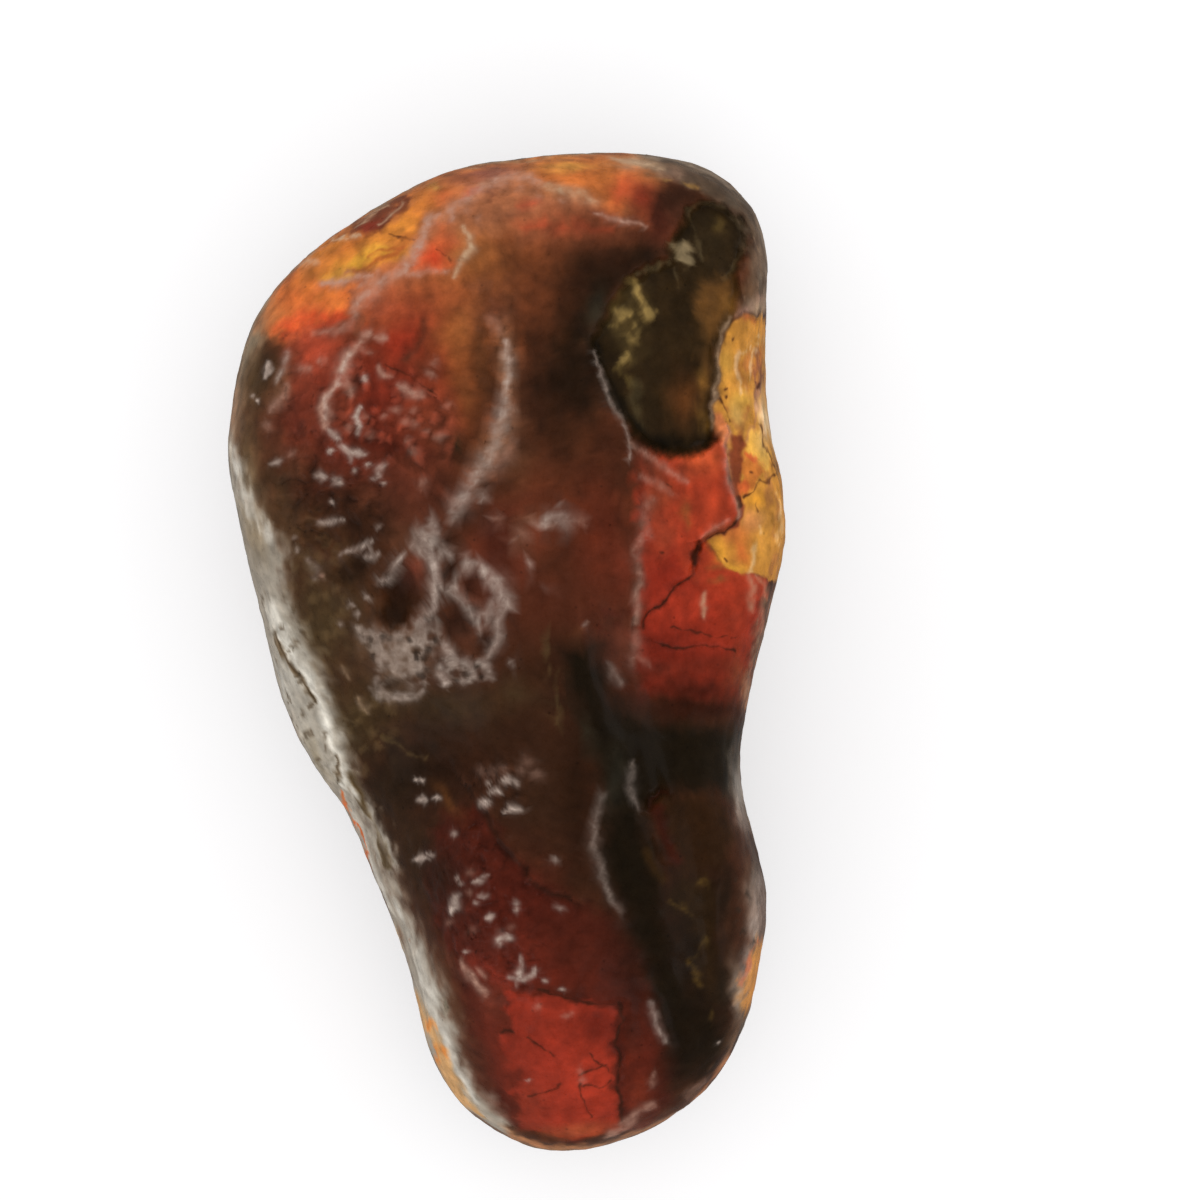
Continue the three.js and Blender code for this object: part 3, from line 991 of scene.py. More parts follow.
    Cloud((166, 60, 37), 12.4, 8.8, 1.2, 1, 80),
    Cloud((156, 88, 46), 10.7, 8.5, 0.6, 0.35, 100, 0.7),
    Cloud((132, 36, 24), 9.4, 5, 1.8, 0.9, 75, 0.9),
    Cloud((160, 64, 42), 9.3, 7, 1.1, 0.8, 80, 0.85),
    Cloud((164, 50, 32), 12, 3, 2.4, 1.1, 20, 0.9),
    Cloud((124, 34, 22), 9.2, 1, 1.2, 0.6, 10),
    Cloud((148, 50, 32), 13.8, 2.2, 1.2, 0.8, 90),
    Cloud((110, 36, 24), 12, -0.7, 2.4, 0.6, 0, 0.9),
    Cloud((82, 33, 25), 9.2, -0.8, 1.4, 0.6, 0, 0.9),
    Cloud((70, 23, 15), 11, -2.1, 2.8, 0.7, 0, 1),
    Cloud((48, 21, 14), 11.4, -3.2, 3.4, 0.6, 0, 1),
    Cloud((112, 50, 31), 13.8, -1.2, 1.2, 0.6, 80),
    Cloud((140, 96, 70), 14.4, -2.8, 1.4, 0.4, 100, 0.85, 4),
    Cloud((106, 30, 20), 9.4, 0.1, 2, 1, 0, 0.85),
    Cloud((128, 56, 36), 9.4, 9.4, 0.9, 0.9, 0, 0.7),
    Cloud((104, 42, 30), 7, 5, 1.8, 0.6, 88, 0.7),
    Cloud((98, 50, 38), 6.9, 1, 1.4, 0.5, 85),
    Wash((120, 84, 44), 0.2, (
        Pool(10.9, 7.7, 0.12, 0.3), Pool(12.5, 5.2, 0.25, 0.15), Pool(12.6, 4.4, 0.3, 0.12),
    ), 0.6),
    Wash((142, 44, 30), 0.3, (END_PLATE,), 1, 0.3),
    Cloud((98, 29, 21), 5.4, -22.1, 1.3, 1.2, 60, 0.9),
    Cloud((124, 40, 28), 0.8, -23.8, 1.8, 0.9, 70),
    Cloud((150, 46, 33), 2.8, -23.8, 1.2, 1.4),
    Cloud((170, 52, 35), 4.8, -25.6, 1.5, 1.4, 0, 0.85),
    Cloud((128, 46, 32), 1.4, -26.8, 0.9, 1.2),
    Cloud((150, 68, 41), 4.2, -28.6, 2.6, 0.5, 5, 0.9),
    Wash((186, 122, 82), 0.4, (Trail((
        (-2.2, -27.4), (-0.8, -28.6), (0.8, -29.6), (2.6, -30.2), (5.4, -30.1), (7.6, -29.4), (10, -28.2),
        (12.4, -26.2), (14, -23.4),
    ), 0.4),), 0.9, 0.3, 7.5),
    # Amber windows of the broad end.
    Wash((204, 126, 52), 0.3, (AMBER_TOP,), 1, 0.25),
    Cloud((172, 96, 42), -9.5, 24.4, 1.4, 0.4, 35, 0.85),
    Cloud((172, 98, 48), -6, 24.6, 1, 0.4, 20),
    Wash((222, 160, 58), 0.35, (
        Trail(((-9.8, 22.9), (-9, 23.3), (-8.2, 23.8), (-7.4, 24.2)), 0.35),
        Trail(((-10.9, 22.4), (-10.2, 22.7)), 0.15),
    ), 0.95, 0.3),
    Wash((212, 136, 54), 0.3, (Pool(-5.9, 25.7, 0.55, 0.3, 40),), 0.85),
    Wash((166, 84, 42), 0.14, (
        Trail(((-8.9, 22.9), (-7.6, 23.5), (-6.4, 23.9)), 0.1),
        Trail(((-8.2, 23.7), (-7, 24.2), (-6, 24.3)), 0.06),
    ), 0.7),
    Wash((104, 54, 38), 0.2, (SCAB,), 1, 0.25),
    Cloud((128, 46, 34), -8.1, 25.5, 0.6, 0.3, 20, 0.9),
    Cloud((150, 110, 78), -7.8, 26.6, 1.6, 0.25, 28),
    Wash((208, 104, 52), 0.5, (ORANGE_TOP,), 1, 0.3),
    Wash((206, 76, 42), 0.4, (
        Trail(((-13.6, 19.6), (-12.4, 20), (-11.2, 20.2), (-9.9, 20.2)), 0.35),
    ), 0.9, 0.3),
    Wash((208, 114, 52), 0.35, (Pool(-10, 20.9, 0.75, 0.35, 20), Pool(-10.6, 21.5, 1, 0.3, 10)), 0.85, 0.25),
    Cloud((188, 110, 52), -11.6, 22.8, 1.8, 0.8, 40, 0.85),
    Cloud((182, 106, 58), -14, 20.4, 1, 0.9, 60),
    Wash((184, 62, 38), 0.3, (Trail(((-13.2, 19), (-11.8, 19.6), (-10.4, 19.7), (-9.5, 20)), 0.14),), 0.7),
    Wash((202, 94, 54), 0.4, (RED_BLOB,), 0.95, 0.3),
    Cloud((196, 116, 76), -4.3, 25.1, 0.7, 0.5, 60),
    Cloud((192, 62, 38), -4.3, 23.5, 0.6, 0.6, 0, 0.85),
    Cloud((208, 122, 52), -5.1, 26.7, 1.3, 0.6, 55, 0.9),
    Cloud((190, 94, 52), -3.7, 27.2, 0.6, 0.5, 20, 0.85),
    Cloud((186, 140, 72), -4.4, 27.9, 0.4, 0.2, -10, 0.9),
    Wash((160, 98, 70), 0.9, (COLLAR,), 0.8, 0.5),
    Cloud((112, 56, 38), 5, 25.5, 3.6, 1, 0, 0.9),
    Cloud((146, 90, 60), -0.7, 25.7, 1.8, 0.5),
    Cloud((146, 80, 54), 2, 26, 2.4, 0.5, 5),
    Wash((176, 70, 46), 0.4, (
        Trail(((3, 25.2), (4.4, 25.4), (5.4, 25.3), (6.4, 25.3)), 0.12),
        Trail(((0.6, 25.4), (2.2, 25.6), (3.4, 25.8)), 0.12), Trail(((-2.6, 27.3), (-1.8, 27.7)), 0.15),
        Trail(((0.9, 26.7), (1.6, 26.9)), 0.12),
    ), 0.7, 0.3),
    Wash((110, 62, 46), 0.2, (
        Pool(5.3, 26.3, 0.3, 0.2), Pool(-1.1, 27.5, 0.18, 0.12), Pool(-0.6, 27.2, 0.12, 0.1),
        Pool(-0.9, 26.8, 0.12, 0.1), Pool(5.9, 29, 0.15, 0.15), Pool(6.3, 28.7, 0.15, 0.2),
        Pool(-8.7, 19.6, 0.3, 0.5), Pool(-9.1, 21.4, 0.2, 0.2),
    ), 0.7, 0.25),
    Cloud((142, 80, 66), -1, 28.7, 2.2, 0.35, 10, 0.9),
    Wash((188, 104, 52), 0.7, (HOT_TOP,), 0.95, 0.3),
    Cloud((208, 144, 68), 3.6, 29.1, 1.7, 0.4, 0, 0.9),
    Cloud((166, 96, 48), 6.1, 28.9, 0.6, 0.5, 60),
    Cloud((206, 112, 52), 3.8, 28.2, 1.4, 0.35),
    Cloud((198, 86, 50), 6.9, 27.6, 1.1, 0.6, 70, 0.95),
    Cloud((132, 50, 33), 8.2, 27.1, 1.1, 0.8, 90, 1),
    Cloud((80, 30, 22), 9.2, 26, 1.2, 0.8, 90, 0.9),
    Cloud((56, 30, 22), 9.9, 26.8, 1.4, 0.8, 70, 1),
    Cloud((178, 138, 112), 8, 29.3, 1.2, 0.25, -5),
    # The amber side.
    Wash((190, 130, 56), 0.12, (AMBER_SIDE,), 1, 0.08),
    Cloud((206, 154, 68), 13.2, 17.4, 1, 0.5, 85),
    Cloud((218, 170, 76), 14, 15.1, 0.6, 0.5, 0, 0.7),
    Cloud((214, 166, 74), 13.7, 14.2, 0.8, 0.4, 110),
    Wash((176, 108, 54), 0.25, (Pool(14.35, 17.1, 0.8, 0.35, 80), Pool(14.9, 17, 0.6, 0.2, 80)), 0.8, 0.3),
    Wash((178, 92, 50), 0.2, (Pool(14.5, 19.95, 0.5, 0.2, -5),), 0.9),
    Wash((132, 78, 56), 0.2, (
        Trail(((15.2, 18.2), (15.2, 17), (15.1, 15.9), (15, 15.4)), 0.12),
    ), 0.85, 0.3),
    Wash((158, 106, 80), 0.15, (Trail(((15.1, 16), (15, 14.8), (14.7, 13.8), (14.45, 12.6)), 0.12),), 0.85),
    Wash((212, 174, 132), 0.12, (
        Trail((
            (15.4, 18.9), (14.9, 18.8), (14.4, 18.4), (14, 17.7), (13.85, 17), (13.95, 16.1), (14.1, 15.5),
        ), 0.06),
        Trail(((15.1, 18.2), (14.75, 17.6), (14.6, 17), (14.55, 16.3)), 0.05),
        Trail(((15.3, 18.5), (14.9, 18.4), (14.6, 18.1)), 0.05),
    ), 0.7, 0.15),
    Wash((214, 132, 66), 0.12, (Trail(((15.35, 15.6), (15.25, 14.2), (15.4, 13)), 0.08),), 0.8),
    Wash((150, 84, 46), 0.2, (
        Trail(((14.3, 14.5), (14.2, 13.8), (13.8, 13.2)), 0.12),
        Trail(((13, 14.8), (13.3, 14.3), (13.6, 13.6)), 0.08),
    ), 0.7, 0.3),
    Wash((232, 136, 86), 0.2, (Patch((
        (12.2, 14.4), (12.7, 14.3), (13.1, 13.6), (13.3, 12.6), (12.9, 12.4), (12.5, 13.1), (12.2, 13.6),
    )),), 0.95, 0.1),
    Wash((116, 52, 35), 0.15, (Patch((
        (13.3, 13), (13.8, 13), (14.3, 12.4), (14.1, 11.4), (14, 10.2), (14.1, 9.3), (13.8, 9.2), (13.5, 10),
        (13.4, 11.4),
    )),), 0.9, 0.15),
    Cloud((210, 164, 94), 13.7, 14.2, 0.7, 0.4, 110),
    Wash((214, 162, 72), 0.15, (Patch((
        (14.6, 13.5), (15.1, 13.2), (15.8, 11.9), (15.6, 11), (15.2, 11.4), (14.8, 11.8), (14.4, 12.2),
    )),), 0.9),
    Wash((184, 106, 48), 0.12, (Patch((
        (14.1, 12), (14.6, 11.9), (15, 11.4), (15.5, 10.8), (15.1, 10.3), (14.7, 9.9), (14.2, 9.7),
        (14.05, 10.8),
    )),), 0.9),
    Wash((188, 84, 46), 0.15, (Pool(14.6, 11.7, 0.4, 0.15, -35), Pool(14.3, 10.1, 0.25, 0.3)), 0.8),
    Cloud((190, 106, 56), 13.7, 7.2, 0.9, 0.5, 20, 0.85),
    Cloud((220, 150, 50), 15.1, 9.2, 0.6, 0.5, 0, 0.9),
    Cloud((206, 146, 88), 15.1, 8, 0.4, 0.6),
    Cloud((196, 128, 78), 14.6, 7.9, 0.5, 0.6),
    Cloud((196, 100, 48), 14, 6.2, 0.9, 0.5, 100, 0.85),
    Cloud((218, 152, 56), 12.8, 6.1, 0.5, 0.6, 0, 0.9),
    Cloud((222, 160, 58), 13.6, 5.2, 0.7, 0.25, -15),
    Cloud((216, 152, 66), 15.4, 6.4, 1.2, 0.4, 90),
    Wash((168, 108, 62), 0.2, (
        Trail(((15.6, 10.6), (16, 9.4), (16.1, 8.2), (16, 7)), 0.1), Trail(((15.6, 9.9), (15.8, 9)), 0.06),
        Trail(((15.9, 4.8), (16.1, 5.8)), 0.15), Trail(((15.3, 6.8), (15.4, 6.1)), 0.06),
    ), 0.7, 0.2),
    Wash((226, 188, 142), 0.2, (
        Trail(((15.1, 7.7), (15.3, 7.1)), 0.05), Trail(((15, 6.6), (14.8, 5.6), (14.6, 4.9)), 0.12),
        Trail(((16.2, 9.6), (16.35, 8), (16.25, 6.6)), 0.08),
    ), 0.7, 0.2),
    # A painted highlight along the right edge.
    Cloud((236, 212, 178), 15.4, 14, 1.4, 0.4, 92, 0.85, 2.5),
    # The wall below the upper red plate.
    Wash((116, 50, 35), 0.14, (
        Trail(((14.05, 8.8), (14.1, 8.2), (13.8, 7.7), (13.2, 7.35), (12.5, 7.1), (11.9, 6.9)), 0.2),
    ), 0.9, 0.1),
    Wash((84, 32, 23), 0.14, (
        Trail(((11.6, 6.8), (11.35, 6), (11.35, 5.3)), 0.2),
        Trail(((11.3, 5.2), (11, 4.7), (10.4, 4.2), (9.9, 3.7), (9.5, 3.1), (8.9, 2.8), (8.3, 2.2)), 0.07),
    ), 0.85, 0.12),
    # Inside the pocket.
    Wash((46, 34, 21), 0.3, (DARK_POCKET,), 1, 0.15),
    Cloud((54, 43, 29), 12.2, 24.8, 1.6, 1.4, 80, 0.7),
    Wash((72, 58, 34), 0.5, (Patch((
        (7.6, 22.6), (8.2, 22), (8.7, 21.2), (8.8, 20.4), (8.2, 19.8), (8.1, 18.8), (7.9, 17.2), (7, 17.2),
        (6.6, 18.6), (6.1, 19.6), (6.5, 20.6), (7, 21.4),
    )),), 0.9, 0.4),
    Wash((156, 130, 78), 0.25, (
        Trail(((7.7, 22.2), (7.8, 21.3), (8.3, 20.8), (8.6, 20.2)), 0.25), Pool(7.6, 18.8, 0.6, 0.3, 90),
        Pool(6.9, 20.1, 0.5, 0.25, 60), Pool(7.2, 17.8, 0.3, 0.2, 40),
    ), 0.85, 0.4),
    Wash((94, 78, 43), 0.25, (Trail(((6.7, 17), (7.1, 16.4), (7.6, 16)), 0.15),), 0.7, 0.35),
    Wash((72, 62, 43), 0.3, (Trail(((7.9, 16), (7.6, 14.8), (8.1, 13.6)), 0.3),), 0.7, 0.3),
    Wash((150, 132, 102), 0.18, (Patch((
        (9.8, 24.6), (10.6, 24.6), (10.95, 24.1), (10.8, 23.8), (11.1, 23.4), (11.2, 23), (10.8, 22.9),
        (10.4, 23.3), (10.1, 23.6),
    )),), 0.9, 0.2),
    Wash((88, 76, 56), 0.15, (
        Trail(((10.9, 26.3), (11.2, 25.2), (11.5, 24.2), (11.8, 23.4)), 0.06),
        Trail((
            (10.9, 26.4), (11.8, 26.9), (13, 26.8), (13.8, 26), (14.2, 25), (14.3, 24.2), (13.8, 23.6),
            (13.4, 22.9), (13.1, 22.4),
        ), 0.12),
        Trail(((9.9, 23.2), (10.1, 22.4), (10.3, 21.9)), 0.04),
        Trail(((8, 22.7), (8.8, 23.1), (9.6, 23.5)), 0.12),
    ), 0.7, 0.15),
    Wash((88, 70, 38), 0.3, (Pool(12.7, 25.6, 0.3, 0.35),), 0.8),
    Wash((108, 72, 36), 0.6, (
        Patch((
            (11.9, 22.2), (13.4, 22.6), (14, 21.6), (13.8, 20.6), (13, 19.4), (12.6, 18.7), (11.9, 19),
            (11.3, 20.2), (11.3, 21.2),
        )),
        Trail(((12.1, 19.4), (12, 17.6), (12, 15.8)), 0.25),
    ), 0.85, 0.3),
    Cloud((140, 96, 46), 13.4, 20.9, 0.6, 0.5, 60),
    Wash((146, 106, 48), 0.4, (Pool(11.6, 16.4, 0.3, 0.5), Pool(11.7, 14.2, 0.35, 0.8)), 0.85, 0.3),
    Cloud((100, 58, 29), 10.6, 15.2, 1.6, 0.9, 90, 0.9),
    # Painted shade along the foot of the pocket's left and lower wall.
    Cloud((28, 22, 15), 9.7, 12.6, 1.9, 0.35, 0, 0.9),
    Wash((24, 20, 15), 0.25, (
        Trail(((5.4, 18.4), (5.7, 17.2), (6.3, 15.8), (7, 14.5), (8, 13.3), (9.4, 12.3)), 0.2),
    ), 0.8),
    # The crust round the dark corner.
    Wash((84, 68, 57), 0.5, (CRUST,), 1, 0.4),
    Wash((50, 38, 33), 1, (Spots((CRUST,), 0.8, 0.4, 0.6, 0.6, 15),), 0.6),
    # Small pale spots painted as glints on the crust.
    Wash((146, 122, 104), 1, (Spots((CRUST,), 0.6, 0.24, 0.35, 0.6, 16),), 0.6),
    Cloud((50, 28, 21), 10.4, 27.3, 1.2, 0.5, -10, 0.9),
    Cloud((116, 88, 72), 9.8, 28.7, 0.9, 0.35, -10, 0.7),
    Cloud((84, 48, 33), 14.2, 22.8, 1, 0.4, 80, 0.9),
    Cloud((120, 84, 60), 14.6, 21.7, 0.5, 0.5),
    Cloud((112, 88, 74), 15.1, 23.6, 1.4, 0.4, 85, 0.7),
    Cloud((170, 142, 118), 15, 20.8, 0.6, 0.35, 20),
    Wash((148, 112, 62), 0.15, (
        Pool(9.6, 28.3, 0.3, 0.15), Trail(((10.7, 28.15), (11.4, 27.8)), 0.08),
    ), 0.7),
    # The pale rim where the skin turns down, partly pale skin and partly a painted reflection of the bright
    # surroundings at the grazing edge.
    Wash((170, 150, 126), 0.35, (Trail((
        (-16.9, 12.6), (-16.7, 15.2), (-15.6, 19.4), (-13.4, 22.9), (-10.3, 25.6), (-6.8, 27.7),
        (-3.6, 29.3), (0.8, 30), (5.6, 30.3),
    ), 0.3),), 0.85, 0.25, 5.5),
    Wash((148, 130, 114), 0.35, (
        Trail(((8, 30), (10.4, 29.8), (13.4, 28.6), (15.2, 26.8), (15.9, 23.5), (15.8, 20.4)), 0.35),
    ), 0.85, 0.35, 5.5),
    Wash((176, 128, 102), 0.25, (
        Trail(((16.3, 4.2), (15.9, 2.6), (15, -0.8), (14.5, -3)), 0.25),
    ), 0.7, 0.3, 5),
    Wash((120, 106, 90), 0.25, (Trail(((14.4, -4.2), (14.1, -7), (14.7, -10.3)), 0.15),), 0.7, 0.2, 5),
    Cloud((142, 126, 106), -15.1, 18.5, 1.6, 0.5, 66),
    Cloud((164, 128, 104), -16.3, 14.4, 2, 0.5, 86, 0.9, 5),
    Cloud((166, 134, 108), 8, 29.3, 1.4, 0.35, -5),
    Cloud((116, 92, 80), 10, 28.7, 1, 0.4, -10),
    Cloud((100, 84, 72), 14.5, 25.6, 1.2, 0.4, 70),
    Cloud((84, 74, 66), 13.5, 27, 1, 0.5, -40),
    Cloud((170, 142, 116), 15, 20.8, 0.7, 0.4, 20, 0.85),
    # The left wall: its pale grey washes and clouds are a painted reflection of the bright surroundings,
    # brightest along its crest; its grooves, spots and orange patches are the stone's own colours.
    Wash((166, 159, 149), 0.7, (WALL,), 0.93, 0.3, 3),
    Cloud((120, 104, 84), -15, 7.4, 1.8, 0.7, 100, 0.75, 4),
    Cloud((104, 88, 70), -15.3, 10.4, 1.2, 0.5, 100, 0.8, 4),
    Cloud((192, 189, 183), -13.4, -1.2, 1.8, 0.6, 118, 0.85, 4),
    Cloud((184, 178, 168), -12.2, -4.6, 2.4, 0.7, 118, 0.6, 5),
    Cloud((128, 114, 92), -11.6, -6.2, 1.6, 0.35, 125, 0.6, 5),
    Wash((216, 212, 204), 0.5, (Trail(WALL_CREST, 0.3),), 0.95, 0.2),
    Wash((214, 210, 203), 0.5, (
        Trail(((-8.2, -9), (-7.8, -10.4), (-7.1, -11.6), (-6.8, -12.6)), 0.05),
        Trail((
            (-8.6, -12.2), (-7.7, -14), (-6.7, -16), (-5.5, -18), (-4.8, -19.6), (-4.5, -20.8), (-4, -22.2),
            (-3.5, -23.8), (-3, -25.2), (-2.1, -26.8),
        ), 0.25),
        Trail(((-16.3, 12.2), (-15.9, 10.4), (-15.4, 9), (-14.8, 7.8), (-14, 7)), 0.2),
    ), 0.85, 0.25),
    Wash((206, 202, 196), 0.5, (
        Trail(((-9.4, -10), (-8.4, -12.4), (-7.6, -14.2), (-6.8, -16.2)), 0.4),
    ), 0.8, 0.2, 3),
    Wash((80, 60, 38), 0.16, (Trail(WALL_GROOVES[0], 0.13), Trail(WALL_GROOVES[1], 0.1)), 0.95, 0.05),
    Wash((72, 54, 32), 0.25, (Trail(OLIVE_GROOVE, 0.22),), 0.9),
    Wash((208, 158, 104), 0.3, (Patch((
        (-6.6, -17), (-5.9, -18.3), (-5.5, -19.3), (-5.4, -19.9), (-5, -20.6), (-4.6, -21.8), (-4.2, -22.8),
        (-3.7, -24.2), (-3.2, -25.4), (-2.3, -26.9), (-1.6, -28.4), (-5, -27), (-7, -20),
    )),), 0.9, 0.15, 6),
    Wash((224, 136, 62), 0.25, (
        Pool(-3.8, -24, 0.5, 0.35, 110), Pool(-4.6, -22.2, 0.3, 0.25),
    ), 0.9, 0.15, 6),
    Wash((150, 86, 50), 0.14, (
        Pool(-5.4, -19.8, 0.14, 0.2), Trail(((-5.7, -17.4), (-5.5, -18)), 0.08),
    ), 0.8),
    Wash((122, 114, 100), 0.15, (Pool(-3.64, -21, 0.4, 0.18, 110),), 0.8),
    Wash((206, 98, 44), 0.15, (Trail(((-9.5, -9.7), (-9.3, -10.6), (-9, -11.4)), 0.2),), 1, 0.1, 8),
    Wash((66, 50, 34), 1, (Spots((Pool(-13, -1, 6, 2, 110),), 0.8, 0.2, 0.4, 0.6, 12),), 0.6),
    # The right wall of the narrow end: its grey clouds are a painted reflection of the bright surroundings;
    # its dark pores and orange patch are the stone's own colours.
    Cloud((94, 80, 72), 14.9, -13, 2.2, 0.5, 86, 0.8, 3),
    Cloud((166, 158, 152), 14, -8.2, 2, 0.45, 96, 0.85, 3),
    Cloud((154, 134, 124), 14.9, -16.4, 2.4, 0.5, 96, 0.85, 3),
    Cloud((132, 118, 108), 13.9, -20.4, 2.2, 0.4, 98, 0.8, 3),
    Wash((46, 36, 31), 1, (Spots((Pool(14.4, -15.6, 5, 0.8, 96),), 0.7, 0.25, 0.5, 0.5, 13),), 0.7),
    Cloud((124, 94, 74), 13.6, -23.2, 1, 0.4, 70, 0.7),
    Wash((206, 138, 64), 0.45, (Patch((
        (15.2, -17.2), (14.6, -17.9), (14.3, -18.8), (14, -19.6), (13.9, -20.8), (14.2, -21.4),
        (15.8, -20.4), (16.2, -17.6),
    )),), 1, 0.3, 3),
    Wash((190, 88, 50), 0.15, (
        Trail(((15.2, -17.2), (14.5, -17.9), (14.2, -18.9), (13.9, -19.8)), 0.08),
    ), 0.7, 0.15),
    Cloud((92, 70, 60), 11.4, -26.2, 0.9, 0.4, 45, 0.7),
    Cloud((140, 96, 74), 9.6, -28, 1.8, 0.35, 25, 0.85, 3),
    Cloud((80, 34, 25), 8.6, -27.4, 0.9, 0.35, 25),
)

